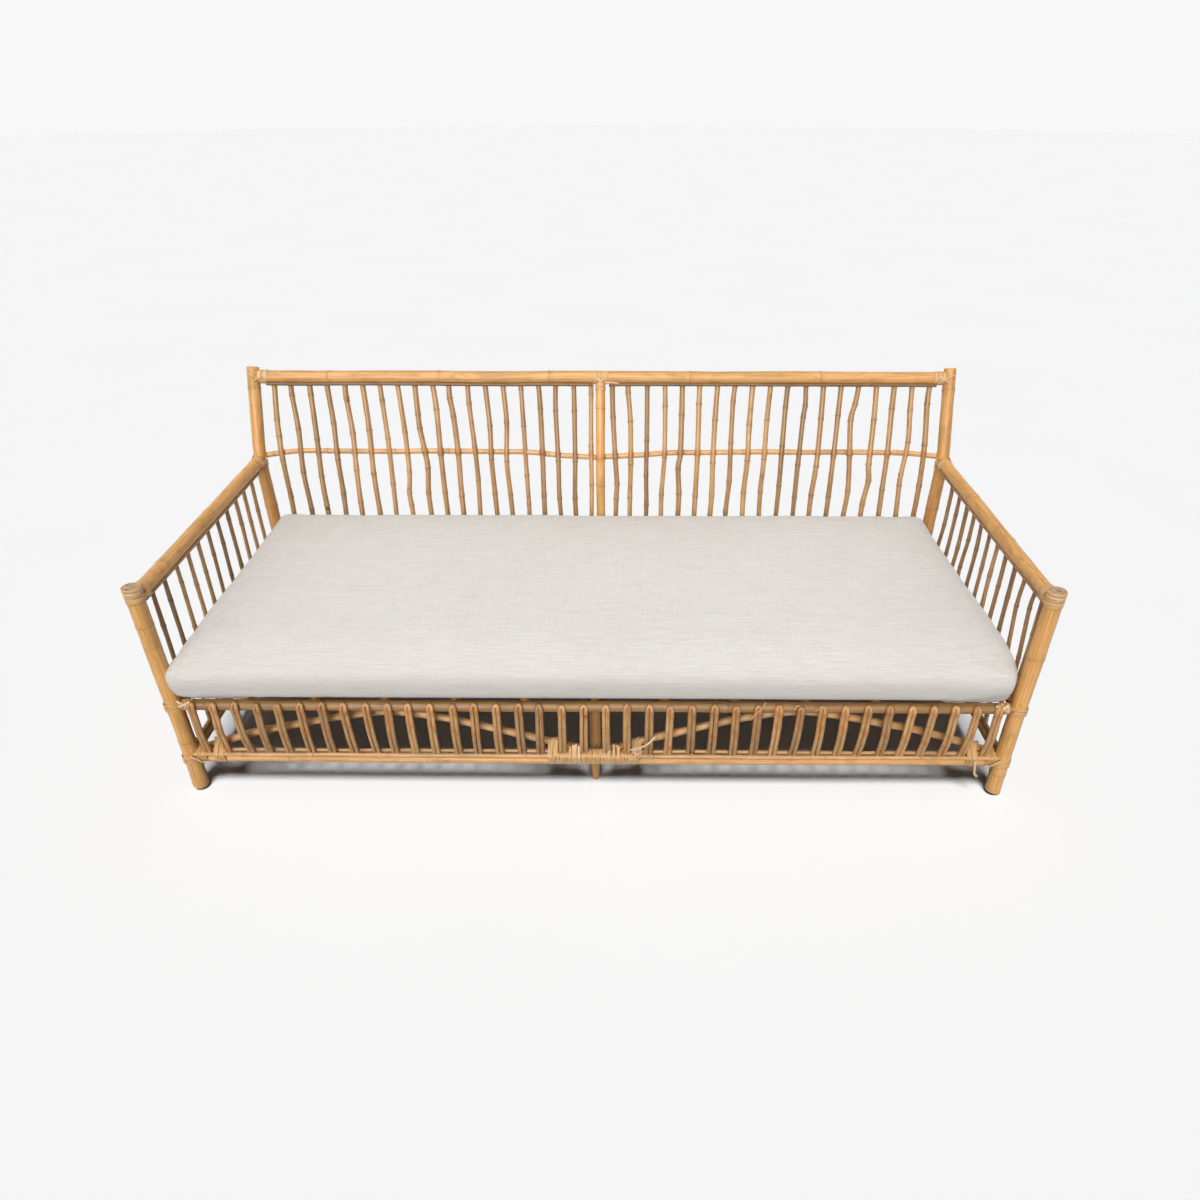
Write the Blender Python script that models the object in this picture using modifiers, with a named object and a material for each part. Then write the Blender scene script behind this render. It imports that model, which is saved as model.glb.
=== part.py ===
"""Rattan daybed with a loose mattress.

Metres, +Z up, +X along the length, -Y is the open front.  The origin is on the floor, under the
middle of the bounding box.  Every pole, cane panel, binding and the mattress is a solid of its own.
"""
import math

import bmesh
import bpy
from mathutils import Vector

# ------------------------------------------------------------------ driving dimensions (metres)
GAP = 0.0003                     # clearance between pieces that touch
WELD = 0.00001                   # merge distance for the caps of a tube
CUTTER_OVERRUN = 0.050           # a post's cutter runs this far past the post's ends
COPE_OVERRUN = 0.003             # a rail's end runs this far past the other pole's axis before the cut

POST_SPAN_X = 1.960              # left post axis to right post axis
POST_SPAN_Y = 0.800              # front post axis to back post axis, below the bend
FRONT_POST_R = 0.0190
BACK_POST_R = 0.0178
FRONT_POST_TOP = 0.564
BACK_POST_TOP = 0.778            # height of the middle of the sloping top face
BEND_Z = 0.545                   # the back leans from here up
LEAN = math.radians(22.4)        # lean of the back above the bend, from vertical
BEND_RADIUS = 0.150

ARM_Z = 0.539
ARM_R = 0.0172
TOP_RAIL_Z = 0.751
TOP_RAIL_R = 0.0170
SEAT_RAIL_Z = 0.253
SEAT_RAIL_R = 0.0130
SIDE_SEAT_RAIL_R = 0.0120
BOTTOM_RAIL_Z = 0.095
BOTTOM_RAIL_R = 0.0110
CENTRE_POST_R = 0.0130
CENTRE_LEG_R = 0.0150
CENTRE_LEG_TIP_R = 0.0090
CENTRE_LEG_TAPER_Z = 0.075       # the leg narrows from here down to its tip
CENTRE_LEG_SETBACK = 0.044       # leg axis behind the rail's axis
SEAT_POLE_R = 0.0120
SEAT_POLE_COUNT = 11

BACK_CANE_R = 0.0065
BACK_CANES_PER_HALF = 19
BACK_CANE_PITCH = 0.0493
FIRST_BACK_CANE_LEFT = 0.0295    # first cane's distance from the middle
FIRST_BACK_CANE_RIGHT = 0.0325
BACK_MID_ROD_Z = 0.558
BACK_MID_ROD_R = 0.0055
BACK_MID_ROD_OFFSET = 0.0070     # mid rod's axis behind the canes' axes
BACK_TOP_ROD_R = 0.0045
BACK_TOP_ROD_DROP = 0.0207       # top rod's axis below the top rail's axis, along the lean
BACK_TOP_ROD_OFFSET = 0.0075     # and in front of the canes' axes
ARM_CANE_R = 0.0055
ARM_CANES = 11
ARM_CANE_PITCH = 0.0625
FIRST_ARM_CANE = 0.0700          # behind the front post's axis
END_ROD_R = 0.0058               # thin rods that the short canes are fixed into
LOW_CANE_R = 0.0050              # canes below seat height at the sides and back
BACK_APRON_CANES = 29
END_CLEARANCE = 0.001            # between a cane's cut end and the pole above or below it

APRON_SLATS = 38                 # doubled canes across the front
APRON_SLAT_WIDTH = 0.0190
APRON_SLAT_THICKNESS = 0.0085
APRON_SLAT_TOP = 0.2625
APRON_SLAT_BOTTOM = 0.1080
APRON_LEAN = math.radians(5.5)   # the slats' tops stand forward of their lower ends
APRON_ROD_R = 0.0050
FRONT_ROD_DROP = 0.0105          # front rod's axis in front of the bottom rail's axis
FRONT_ROD_Z = 0.1125
REAR_ROD_SETBACK = 0.0025
REAR_ROD_Z = 0.1250

ARCH_R = 0.0095
ARCH_SETBACK = 0.0185            # arch plane behind the rails' plane
ARCH_END_Z = 0.108
ARCH_RISE = 0.112
ARCH_SHARPNESS = 1.25            # over 1 flattens the arch's feet
ARCH_INNER_X = 0.030
ARCH_OUTER_X = 0.955
ARCH_STEPS = 10

MATTRESS_LENGTH = 1.918
MATTRESS_DEPTH = 0.800
MATTRESS_THICKNESS = 0.125
MATTRESS_FRONT_OVERHANG = 0.015  # mattress front, forward of the front posts' axes
MATTRESS_CORNER_R = 0.045
MATTRESS_EDGE_R = 0.035

BINDING_T = 0.0030               # a layer of split cane round a joint
BUNDLE_BINDING_T = 0.0025
BUNDLE_FRONT = 0.0165            # inside front of a bundle's binding, before the rail's axis
BUNDLE_CORNER_R = 0.0080
POST_BINDING_HEIGHT = 0.034
POST_BINDING_TOP_INSET = 0.002
RAIL_BINDING_WIDTH = 0.0160
TOP_CENTRE_BINDING_WIDTH = 0.044
BUNDLE_BINDING_WIDTH = 0.0260
CORNER_BINDING_WIDTH = 0.0170
LOW_BUNDLE_TOP = 0.1320          # inside top of a binding where the arch lies low
HIGH_BUNDLE_TOP = 0.1440         # and where the arch has begun to rise

RING_STEPS = 16
BEND_STEPS = 4                   # straight pieces round the bend of a pole
CORNER_STEPS = 2                 # and round a corner of a binding
SLAT_END_STEPS = 4
SHARP_ANGLE = math.radians(50)

# ------------------------------------------------------------------ dimensions that follow
FLAT_GROWTH = 1 / math.cos(math.pi / RING_STEPS)   # keeps the flats of 16 sides clear of a pole
POST_X = POST_SPAN_X / 2
LEAN_OUT = (BACK_POST_TOP - BEND_Z) * math.tan(LEAN)
FRONT_REACH = (FRONT_POST_R + GAP) * FLAT_GROWTH + BINDING_T
BACK_REACH = LEAN_OUT + BACK_POST_R * math.cos(LEAN)
FRONT_Y = (FRONT_REACH - POST_SPAN_Y - BACK_REACH) / 2
BACK_Y = FRONT_Y + POST_SPAN_Y
TOP_RAIL_Y = BACK_Y + (TOP_RAIL_Z - BEND_Z) * math.tan(LEAN)
DECK_TOP = SEAT_RAIL_Z + SEAT_RAIL_R
APRON_PITCH = POST_SPAN_X / (APRON_SLATS + 1)
LEAN_UP = Vector((0.0, math.sin(LEAN), math.cos(LEAN)))
LEAN_FORWARD = Vector((0.0, -math.cos(LEAN), math.sin(LEAN)))

# sides given to round sections by bevel_resolution: 1 makes 6, 2 makes 8, 4 makes 12
FINE = 4
MEDIUM = 2
COARSE = 1
CUTTER = 6                       # 16 sides, as RING_STEPS
CUTTER_TILT = math.radians(5)    # turns a cutter's edges off the edges of the pole it cuts

# ------------------------------------------------------------------ colours
POLE_COLOUR = (0.62, 0.36, 0.14, 1.0)
CANE_COLOUR = (0.52, 0.29, 0.12, 1.0)
BINDING_COLOUR = (0.70, 0.45, 0.22, 1.0)
LINEN_COLOUR = (0.66, 0.63, 0.58, 1.0)
RATTAN_ROUGHNESS = 0.42
BINDING_ROUGHNESS = 0.55
LINEN_ROUGHNESS = 0.92


# ------------------------------------------------------------------ scene and materials
def clear_scene():
    for obj in list(bpy.data.objects):
        bpy.data.objects.remove(obj, do_unlink=True)


def new_collection(name):
    collection = bpy.data.collections.new(name)
    bpy.context.scene.collection.children.link(collection)
    return collection


def finish(obj, colour, roughness):
    """Give the object a Principled material of its own."""
    material = bpy.data.materials.new(obj.name + "_finish")
    material.use_nodes = True
    shader = material.node_tree.nodes["Principled BSDF"]
    shader.inputs["Base Color"].default_value = colour
    shader.inputs["Roughness"].default_value = roughness
    shader.inputs["Metallic"].default_value = 0.0
    material.diffuse_color = colour
    obj.data.materials.clear()
    obj.data.materials.append(material)


# ------------------------------------------------------------------ basic shapes
def tube(name, paths, radius, resolution, collection, radii=None, tilt=0.0):
    """A curve object with one round rod along each path; its origin is the first path's start."""
    origin = Vector(paths[0][0])
    curve = bpy.data.curves.new(name, "CURVE")
    curve.dimensions = "3D"
    curve.bevel_depth = radius
    curve.bevel_resolution = resolution
    curve.use_fill_caps = True
    for path in paths:
        spline = curve.splines.new("POLY")
        spline.points.add(len(path) - 1)
        for index, place in enumerate(path):
            spline.points[index].co = (*(Vector(place) - origin), 1.0)
            spline.points[index].tilt = tilt
            if radii:
                spline.points[index].radius = radii[index] / radius
    obj = bpy.data.objects.new(name, curve)
    obj.location = origin
    collection.objects.link(obj)
    return obj


def plate(name, outlines, thickness, collection):
    """A flat 2D curve, filled between its outlines and extruded to the thickness."""
    curve = bpy.data.curves.new(name, "CURVE")
    curve.dimensions = "2D"
    curve.fill_mode = "BOTH"
    curve.extrude = thickness / 2
    for outline in outlines:
        spline = curve.splines.new("POLY")
        spline.points.add(len(outline) - 1)
        for index, (across, up) in enumerate(outline):
            spline.points[index].co = (across, up, 0.0, 1.0)
        spline.use_cyclic_u = True
    obj = bpy.data.objects.new(name, curve)
    collection.objects.link(obj)
    return obj


def as_mesh(curve_object):
    """Replace a curve object by a mesh of the same shape, with its caps welded on."""
    bpy.context.view_layer.update()
    evaluated = curve_object.evaluated_get(bpy.context.evaluated_depsgraph_get())
    mesh = bpy.data.meshes.new_from_object(evaluated)
    shape = bmesh.new()
    shape.from_mesh(mesh)
    bmesh.ops.remove_doubles(shape, verts=shape.verts, dist=WELD)
    bmesh.ops.recalc_face_normals(shape, faces=shape.faces)
    shape.to_mesh(mesh)
    shape.free()
    name = curve_object.name
    collection = curve_object.users_collection[0]
    matrix = curve_object.matrix_world.copy()
    bpy.data.objects.remove(curve_object, do_unlink=True)
    mesh.name = name
    obj = bpy.data.objects.new(name, mesh)
    obj.matrix_world = matrix
    collection.objects.link(obj)
    return obj


def hide_guide(obj):
    obj.hide_render = True
    obj.display_type = "WIRE"
    return obj


def boolean(obj, operation, *guides):
    for guide in guides:
        modifier = obj.modifiers.new(operation.lower() + "_" + guide.name, "BOOLEAN")
        modifier.operation = operation
        modifier.object = guide
        modifier.solver = "EXACT"
    return obj


def shade_round(obj):
    obj.data.shade_smooth()
    obj.data.set_sharp_from_angle(angle=SHARP_ANGLE)


# ------------------------------------------------------------------ paths
def leaning_path(x, bottom_z, top_length, steps=BEND_STEPS):
    """Up the plane of the back: vertical, an arc at the bend, then along the lean."""
    reach = BEND_RADIUS * math.tan(LEAN / 2)
    points = [Vector((x, BACK_Y, bottom_z))]
    for step in range(steps + 1):
        turn = LEAN * step / steps
        forward = BEND_RADIUS * (1 - math.cos(turn))
        up = BEND_RADIUS * math.sin(turn)
        points.append(Vector((x, BACK_Y + forward, BEND_Z - reach + up)))
    points.append(Vector((x, BACK_Y, BEND_Z)) + LEAN_UP * top_length)
    return points


def back_plane_y(z):
    """Depth of the back's plane at a height within the arc of the bend."""
    start = BEND_Z - BEND_RADIUS * math.tan(LEAN / 2)
    turn = math.asin((z - start) / BEND_RADIUS)
    return BACK_Y + BEND_RADIUS * (1 - math.cos(turn))


def arch_path(side):
    """Shallow arch from the corner to the middle, low at both feet."""
    points = []
    for step in range(ARCH_STEPS + 1):
        t = step / ARCH_STEPS
        x = ARCH_INNER_X + (ARCH_OUTER_X - ARCH_INNER_X) * t
        z = ARCH_END_Z + ARCH_RISE * max(math.sin(math.pi * t), 0.0) ** ARCH_SHARPNESS
        points.append((side * x, FRONT_Y + ARCH_SETBACK, z))
    return points


def rounded_rectangle(low, high, radius, steps=CORNER_STEPS):
    corners = (
        (high[0] - radius, high[1] - radius, 0.0),
        (low[0] + radius, high[1] - radius, math.pi / 2),
        (low[0] + radius, low[1] + radius, math.pi),
        (high[0] - radius, low[1] + radius, math.pi * 1.5),
    )
    outline = []
    for across, up, start in corners:
        for step in range(steps + 1):
            angle = start + math.pi / 2 * step / steps
            outline.append((across + radius * math.cos(angle), up + radius * math.sin(angle)))
    return outline


# ------------------------------------------------------------------ cutters
def pole_cutter(name, path, radius, cutters):
    """The pole that a piece fits against, grown by the clearance."""
    grown = (radius + GAP) * FLAT_GROWTH
    return hide_guide(as_mesh(tube(name, [path], grown, CUTTER, cutters, tilt=CUTTER_TILT)))


def make_cutters(cutters):
    over = CUTTER_OVERRUN
    cutter = {}
    for side, tag in ((-1, "left"), (1, "right")):
        x = side * POST_X
        front = [(x, FRONT_Y, -over), (x, FRONT_Y, FRONT_POST_TOP + over)]
        cutter["front_" + tag] = pole_cutter("cut_front_post_" + tag, front, FRONT_POST_R, cutters)
        slope = (BACK_POST_TOP - BEND_Z) / math.cos(LEAN) + over
        back = leaning_path(x, -over, slope)
        cutter["back_" + tag] = pole_cutter("cut_back_post_" + tag, back, BACK_POST_R, cutters)
        arm = [(x, FRONT_Y, ARM_Z), (x, FRONT_Y + POST_SPAN_Y / 2, ARM_Z)]
        cutter["arm_" + tag] = pole_cutter("cut_arm_" + tag, arm, ARM_R, cutters)
    for tag, y in (("front", FRONT_Y), ("back", BACK_Y)):
        rail = [(-POST_X, y, SEAT_RAIL_Z), (POST_X, y, SEAT_RAIL_Z)]
        cutter["seat_" + tag] = pole_cutter("cut_seat_rail_" + tag, rail, SEAT_RAIL_R, cutters)
    pole = [(0.0, FRONT_Y, SEAT_RAIL_Z), (0.0, BACK_Y, SEAT_RAIL_Z)]
    cutter["centre_pole"] = pole_cutter("cut_centre_pole", pole, SEAT_POLE_R, cutters)
    top = [(-POST_X, TOP_RAIL_Y, TOP_RAIL_Z), (POST_X, TOP_RAIL_Y, TOP_RAIL_Z)]
    cutter["top_rail"] = pole_cutter("cut_top_rail", top, TOP_RAIL_R, cutters)
    centre = leaning_path(0.0, SEAT_RAIL_Z, (TOP_RAIL_Z - BEND_Z) / math.cos(LEAN))
    cutter["centre_post"] = pole_cutter("cut_centre_back_post", centre, CENTRE_POST_R, cutters)
    return cutter


# ------------------------------------------------------------------ posts and legs
def make_posts(parts, cutter):
    for side, tag in ((-1, "left"), (1, "right")):
        x = side * POST_X
        front = [(x, FRONT_Y, 0.0), (x, FRONT_Y, FRONT_POST_TOP)]
        post = tube("front_post_" + tag, [front], FRONT_POST_R, FINE, parts)
        finish(post, POLE_COLOUR, RATTAN_ROUGHNESS)
        slope = (BACK_POST_TOP - BEND_Z) / math.cos(LEAN)
        post = tube("back_post_" + tag, [leaning_path(x, 0.0, slope)], BACK_POST_R, FINE, parts)
        finish(post, POLE_COLOUR, RATTAN_ROUGHNESS)
    path = leaning_path(0.0, SEAT_RAIL_Z, (TOP_RAIL_Z - BEND_Z) / math.cos(LEAN))
    post = as_mesh(tube("centre_back_post", [path], CENTRE_POST_R, FINE, parts))
    boolean(post, "DIFFERENCE", cutter["seat_back"], cutter["centre_pole"], cutter["top_rail"])
    shade_round(post)
    finish(post, POLE_COLOUR, RATTAN_ROUGHNESS)


def make_centre_legs(parts):
    """Two short legs under the middle seat pole, with tapered feet."""
    top = SEAT_RAIL_Z - SEAT_POLE_R - GAP
    heights = (0.0, CENTRE_LEG_TAPER_Z, top)
    radii = (CENTRE_LEG_TIP_R, CENTRE_LEG_R, CENTRE_LEG_R)
    for name, y in (
        ("centre_front_leg", FRONT_Y + CENTRE_LEG_SETBACK),
        ("centre_back_leg", BACK_Y - CENTRE_LEG_SETBACK),
    ):
        path = [(0.0, y, z) for z in heights]
        leg = tube(name, [path], CENTRE_LEG_R, FINE, parts, radii)
        finish(leg, POLE_COLOUR, RATTAN_ROUGHNESS)


# ------------------------------------------------------------------ rails
def coped_rail(name, start, end, radius, parts, *cutters):
    """A straight pole whose ends are hollowed to fit against the poles it meets."""
    past_axis = (Vector(end) - Vector(start)).normalized() * COPE_OVERRUN
    path = [Vector(start) - past_axis, Vector(end) + past_axis]
    rail = as_mesh(tube(name, [path], radius, FINE, parts))
    boolean(rail, "DIFFERENCE", *cutters)
    shade_round(rail)
    finish(rail, POLE_COLOUR, RATTAN_ROUGHNESS)
    return rail


def make_long_rails(parts, cutter):
    front = (cutter["front_left"], cutter["front_right"])
    back = (cutter["back_left"], cutter["back_right"])
    for name, y, z, radius, ends in (
        ("front_seat_rail", FRONT_Y, SEAT_RAIL_Z, SEAT_RAIL_R, front),
        ("front_bottom_rail", FRONT_Y, BOTTOM_RAIL_Z, BOTTOM_RAIL_R, front),
        ("back_seat_rail", BACK_Y, SEAT_RAIL_Z, SEAT_RAIL_R, back),
        ("back_bottom_rail", BACK_Y, BOTTOM_RAIL_Z, BOTTOM_RAIL_R, back),
        ("back_top_rail", TOP_RAIL_Y, TOP_RAIL_Z, TOP_RAIL_R, back),
    ):
        coped_rail(name, (-POST_X, y, z), (POST_X, y, z), radius, parts, *ends)


def make_side_rails(parts, cutter):
    for side, tag in ((-1, "left"), (1, "right")):
        x = side * POST_X
        ends = (cutter["front_" + tag], cutter["back_" + tag])
        for name, z, radius in (
            ("arm_rail_", ARM_Z, ARM_R),
            ("side_seat_rail_", SEAT_RAIL_Z, SIDE_SEAT_RAIL_R),
            ("side_bottom_rail_", BOTTOM_RAIL_Z, BOTTOM_RAIL_R),
        ):
            coped_rail(name + tag, (x, FRONT_Y, z), (x, BACK_Y, z), radius, parts, *ends)


def make_seat_poles(parts, cutter):
    pitch = POST_SPAN_X / (SEAT_POLE_COUNT + 1)
    for number in range(1, SEAT_POLE_COUNT + 1):
        x = -POST_X + pitch * number
        start = (x, FRONT_Y, SEAT_RAIL_Z)
        end = (x, BACK_Y, SEAT_RAIL_Z)
        name = f"seat_pole_{number:02d}"
        coped_rail(name, start, end, SEAT_POLE_R, parts, cutter["seat_front"], cutter["seat_back"])


# ------------------------------------------------------------------ cane panels
def cane_panel(name, cane_paths, cane_radius, rods, parts, cutters):
    """Upright canes joined to thin rods; rods holds a (path, radius) pair for each rod."""
    canes = hide_guide(as_mesh(tube("canes_of_" + name, cane_paths, cane_radius, COARSE, cutters)))
    first_path, first_radius = rods[0]
    panel = as_mesh(tube(name, [first_path], first_radius, COARSE, parts))
    boolean(panel, "UNION", canes)
    for number, (path, radius) in enumerate(rods[1:], start=1):
        rod = hide_guide(as_mesh(tube(f"rod_{number}_of_{name}", [path], radius, COARSE, cutters)))
        boolean(panel, "UNION", rod)
    shade_round(panel)
    finish(panel, CANE_COLOUR, RATTAN_ROUGHNESS)
    return panel


def make_back_panels(parts, cutters):
    """Canes of the back, bent with the posts, in front of a thin rod at the bend."""
    slope = (TOP_RAIL_Z - BEND_Z) / math.cos(LEAN)
    cane_top = slope - TOP_RAIL_R - END_CLEARANCE
    cane_bottom = DECK_TOP + END_CLEARANCE
    rod_y = back_plane_y(BACK_MID_ROD_Z) + BACK_MID_ROD_OFFSET
    under_rail = LEAN_UP * (slope - BACK_TOP_ROD_DROP) + LEAN_FORWARD * BACK_TOP_ROD_OFFSET
    top_rod_y = BACK_Y + under_rail.y
    top_rod_z = BEND_Z + under_rail.z
    inner_x = CENTRE_POST_R + END_CLEARANCE
    outer_x = POST_X - BACK_POST_R - END_CLEARANCE
    binding_room = RAIL_BINDING_WIDTH + 2 * END_CLEARANCE
    for side, tag, first in ((-1, "left", FIRST_BACK_CANE_LEFT), (1, "right", FIRST_BACK_CANE_RIGHT)):
        paths = []
        for number in range(BACK_CANES_PER_HALF):
            x = side * (first + BACK_CANE_PITCH * number)
            paths.append(leaning_path(x, cane_bottom, cane_top, 1))
        mid = [(side * inner_x, rod_y, BACK_MID_ROD_Z), (side * outer_x, rod_y, BACK_MID_ROD_Z)]
        top_inner = side * (TOP_CENTRE_BINDING_WIDTH / 2 + END_CLEARANCE)
        top_outer = side * (outer_x - binding_room)
        top = [(top_inner, top_rod_y, top_rod_z), (top_outer, top_rod_y, top_rod_z)]
        rods = ((mid, BACK_MID_ROD_R), (top, BACK_TOP_ROD_R))
        cane_panel("back_canes_" + tag, paths, BACK_CANE_R, rods, parts, cutters)


def rod_heights(low, high):
    """Axes of the two thin rods that lie on the pole below and hang under the pole above."""
    return low + END_ROD_R + GAP, high - END_ROD_R - GAP


def make_side_panel(name, x, low, high, radius, parts, cutters):
    """Canes between a thin rod on the lower pole and one under the upper pole."""
    bottom, top = rod_heights(low, high)
    paths = []
    for number in range(ARM_CANES):
        y = FRONT_Y + FIRST_ARM_CANE + ARM_CANE_PITCH * number
        paths.append([(x, y, bottom), (x, y, top)])
    front = FRONT_Y + FIRST_ARM_CANE / 2
    back = BACK_Y - FIRST_ARM_CANE / 2 - RAIL_BINDING_WIDTH / 2
    rods = [([(x, front, z), (x, back, z)], END_ROD_R) for z in (bottom, top)]
    cane_panel(name, paths, radius, rods, parts, cutters)


def make_side_panels(parts, cutters):
    above_seat = SEAT_RAIL_Z + SIDE_SEAT_RAIL_R
    below_seat = SEAT_RAIL_Z - SIDE_SEAT_RAIL_R
    above_bottom = BOTTOM_RAIL_Z + BOTTOM_RAIL_R
    for side, tag in ((-1, "left"), (1, "right")):
        x = side * POST_X
        top = ARM_Z - ARM_R
        make_side_panel("arm_canes_" + tag, x, above_seat, top, ARM_CANE_R, parts, cutters)
        name = "side_apron_canes_" + tag
        make_side_panel(name, x, above_bottom, below_seat, LOW_CANE_R, parts, cutters)


def make_back_apron(parts, cutters):
    bottom, top = rod_heights(BOTTOM_RAIL_Z + BOTTOM_RAIL_R, SEAT_RAIL_Z - SEAT_RAIL_R)
    pitch = POST_SPAN_X / (BACK_APRON_CANES + 1)
    paths = []
    for number in range(1, BACK_APRON_CANES + 1):
        x = -POST_X + pitch * number
        paths.append([(x, BACK_Y, bottom), (x, BACK_Y, top)])
    end_x = POST_X - pitch / 2
    rods = [([(-end_x, BACK_Y, z), (end_x, BACK_Y, z)], END_ROD_R) for z in (bottom, top)]
    cane_panel("back_apron_canes", paths, LOW_CANE_R, rods, parts, cutters)


def apron_slat_outline(x, length, steps=SLAT_END_STEPS):
    """Upright strip with a half-round top."""
    half = APRON_SLAT_WIDTH / 2
    shoulder = length - half
    outline = [(x - half, 0.0), (x + half, 0.0)]
    for step in range(steps + 1):
        angle = math.pi * step / steps
        outline.append((x + half * math.cos(angle), shoulder + half * math.sin(angle)))
    return outline


def make_front_apron(parts, cutters):
    """Doubled canes in front of the seat rail, held between two thin rods over the bottom rail."""
    stand_off = SEAT_RAIL_R + GAP + APRON_SLAT_THICKNESS / 2
    near_y = FRONT_Y - stand_off * math.cos(APRON_LEAN)
    near_z = SEAT_RAIL_Z - stand_off * math.sin(APRON_LEAN)
    foot_y = near_y + (near_z - APRON_SLAT_BOTTOM) * math.tan(APRON_LEAN)
    length = (APRON_SLAT_TOP - APRON_SLAT_BOTTOM) / math.cos(APRON_LEAN)
    outlines = []
    for number in range(1, APRON_SLATS + 1):
        outlines.append(apron_slat_outline(-POST_X + APRON_PITCH * number, length))
    slats = plate("slats_of_front_apron", outlines, APRON_SLAT_THICKNESS, cutters)
    slats.location = (0.0, foot_y, APRON_SLAT_BOTTOM)
    slats.rotation_euler = (math.pi / 2 + APRON_LEAN, 0.0, 0.0)
    slats = hide_guide(as_mesh(slats))
    end_x = POST_X - FRONT_POST_R - END_CLEARANCE
    panel = None
    for name, y, z, group in (
        ("front_apron_canes", FRONT_Y - FRONT_ROD_DROP, FRONT_ROD_Z, parts),
        ("rear_rod_of_front_apron", FRONT_Y + REAR_ROD_SETBACK, REAR_ROD_Z, cutters),
    ):
        rod = as_mesh(tube(name, [[(-end_x, y, z), (end_x, y, z)]], APRON_ROD_R, COARSE, group))
        if panel is None:
            panel = boolean(rod, "UNION", slats)
        else:
            boolean(panel, "UNION", hide_guide(rod))
    shade_round(panel)
    finish(panel, CANE_COLOUR, RATTAN_ROUGHNESS)


def make_arches(parts):
    for side, tag in ((-1, "left"), (1, "right")):
        arch = tube("arch_brace_" + tag, [arch_path(side)], ARCH_R, MEDIUM, parts)
        finish(arch, CANE_COLOUR, RATTAN_ROUGHNESS)


# ------------------------------------------------------------------ cane bindings
def ring(name, centre, rotation, pole_radius, width, parts):
    """A sleeve round a pole: a rectangular profile turned about the local Z axis."""
    inner = (pole_radius + GAP) * FLAT_GROWTH
    outer = inner + BINDING_T
    half = width / 2
    profile = ((outer, half), (outer, -half), (inner, -half), (inner, half))
    mesh = bpy.data.meshes.new(name)
    shape = bmesh.new()
    corners = [shape.verts.new((radius, 0.0, z)) for radius, z in profile]
    for index, corner in enumerate(corners):
        shape.edges.new((corner, corners[(index + 1) % len(corners)]))
    shape.to_mesh(mesh)
    shape.free()
    obj = bpy.data.objects.new(name, mesh)
    obj.location = centre
    obj.rotation_euler = rotation
    parts.objects.link(obj)
    screw = obj.modifiers.new("turn", "SCREW")
    screw.axis = "Z"
    screw.angle = math.tau
    screw.steps = RING_STEPS
    screw.render_steps = RING_STEPS
    screw.use_merge_vertices = True
    screw.merge_threshold = WELD
    screw.use_smooth_shade = True
    finish(obj, BINDING_COLOUR, BINDING_ROUGHNESS)
    return obj


def make_pole_bindings(parts, cutter):
    along_x = (0.0, math.pi / 2, 0.0)
    along_y = (math.pi / 2, 0.0, 0.0)
    half = RAIL_BINDING_WIDTH / 2
    for side, tag in ((-1, "left"), (1, "right")):
        x = side * POST_X
        middle = FRONT_POST_TOP - POST_BINDING_TOP_INSET - POST_BINDING_HEIGHT / 2
        sleeve = ring("post_top_binding_" + tag, (x, FRONT_Y, middle), (0.0, 0.0, 0.0),
                      FRONT_POST_R, POST_BINDING_HEIGHT, parts)
        boolean(sleeve, "DIFFERENCE", cutter["arm_" + tag])
        y = BACK_Y - BACK_POST_R - END_CLEARANCE - half
        ring("arm_end_binding_" + tag, (x, y, ARM_Z), along_y,
             ARM_R, RAIL_BINDING_WIDTH, parts)
        beside_back = side * (POST_X - BACK_POST_R - END_CLEARANCE - half)
        ring("top_rail_binding_" + tag, (beside_back, TOP_RAIL_Y, TOP_RAIL_Z), along_x,
             TOP_RAIL_R, RAIL_BINDING_WIDTH, parts)
        beside_front = side * (POST_X - FRONT_POST_R - END_CLEARANCE - half)
        ring("seat_rail_binding_" + tag, (beside_front, FRONT_Y, SEAT_RAIL_Z), along_x,
             SEAT_RAIL_R, RAIL_BINDING_WIDTH, parts)
    sleeve = ring("top_rail_binding_centre", (0.0, TOP_RAIL_Y, TOP_RAIL_Z), along_x,
                  TOP_RAIL_R, TOP_CENTRE_BINDING_WIDTH, parts)
    boolean(sleeve, "DIFFERENCE", cutter["centre_post"])


def bundle_binding(name, x, width, inside_top, parts):
    """A flat sleeve round the bottom rail, both thin rods and the foot of an arch."""
    low = (-BUNDLE_FRONT, BOTTOM_RAIL_Z - BOTTOM_RAIL_R - GAP)
    high = (ARCH_SETBACK + ARCH_R + GAP, inside_top)
    wall = BUNDLE_BINDING_T
    inner = rounded_rectangle(low, high, BUNDLE_CORNER_R)
    outer = rounded_rectangle((low[0] - wall, low[1] - wall), (high[0] + wall, high[1] + wall),
                              BUNDLE_CORNER_R + wall)
    sleeve = plate(name, (outer, inner), width, parts)
    sleeve.location = (x, FRONT_Y, 0.0)
    sleeve.rotation_euler = (math.pi / 2, 0.0, math.pi / 2)
    sleeve = as_mesh(sleeve)
    shade_round(sleeve)
    finish(sleeve, BINDING_COLOUR, BINDING_ROUGHNESS)


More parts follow.
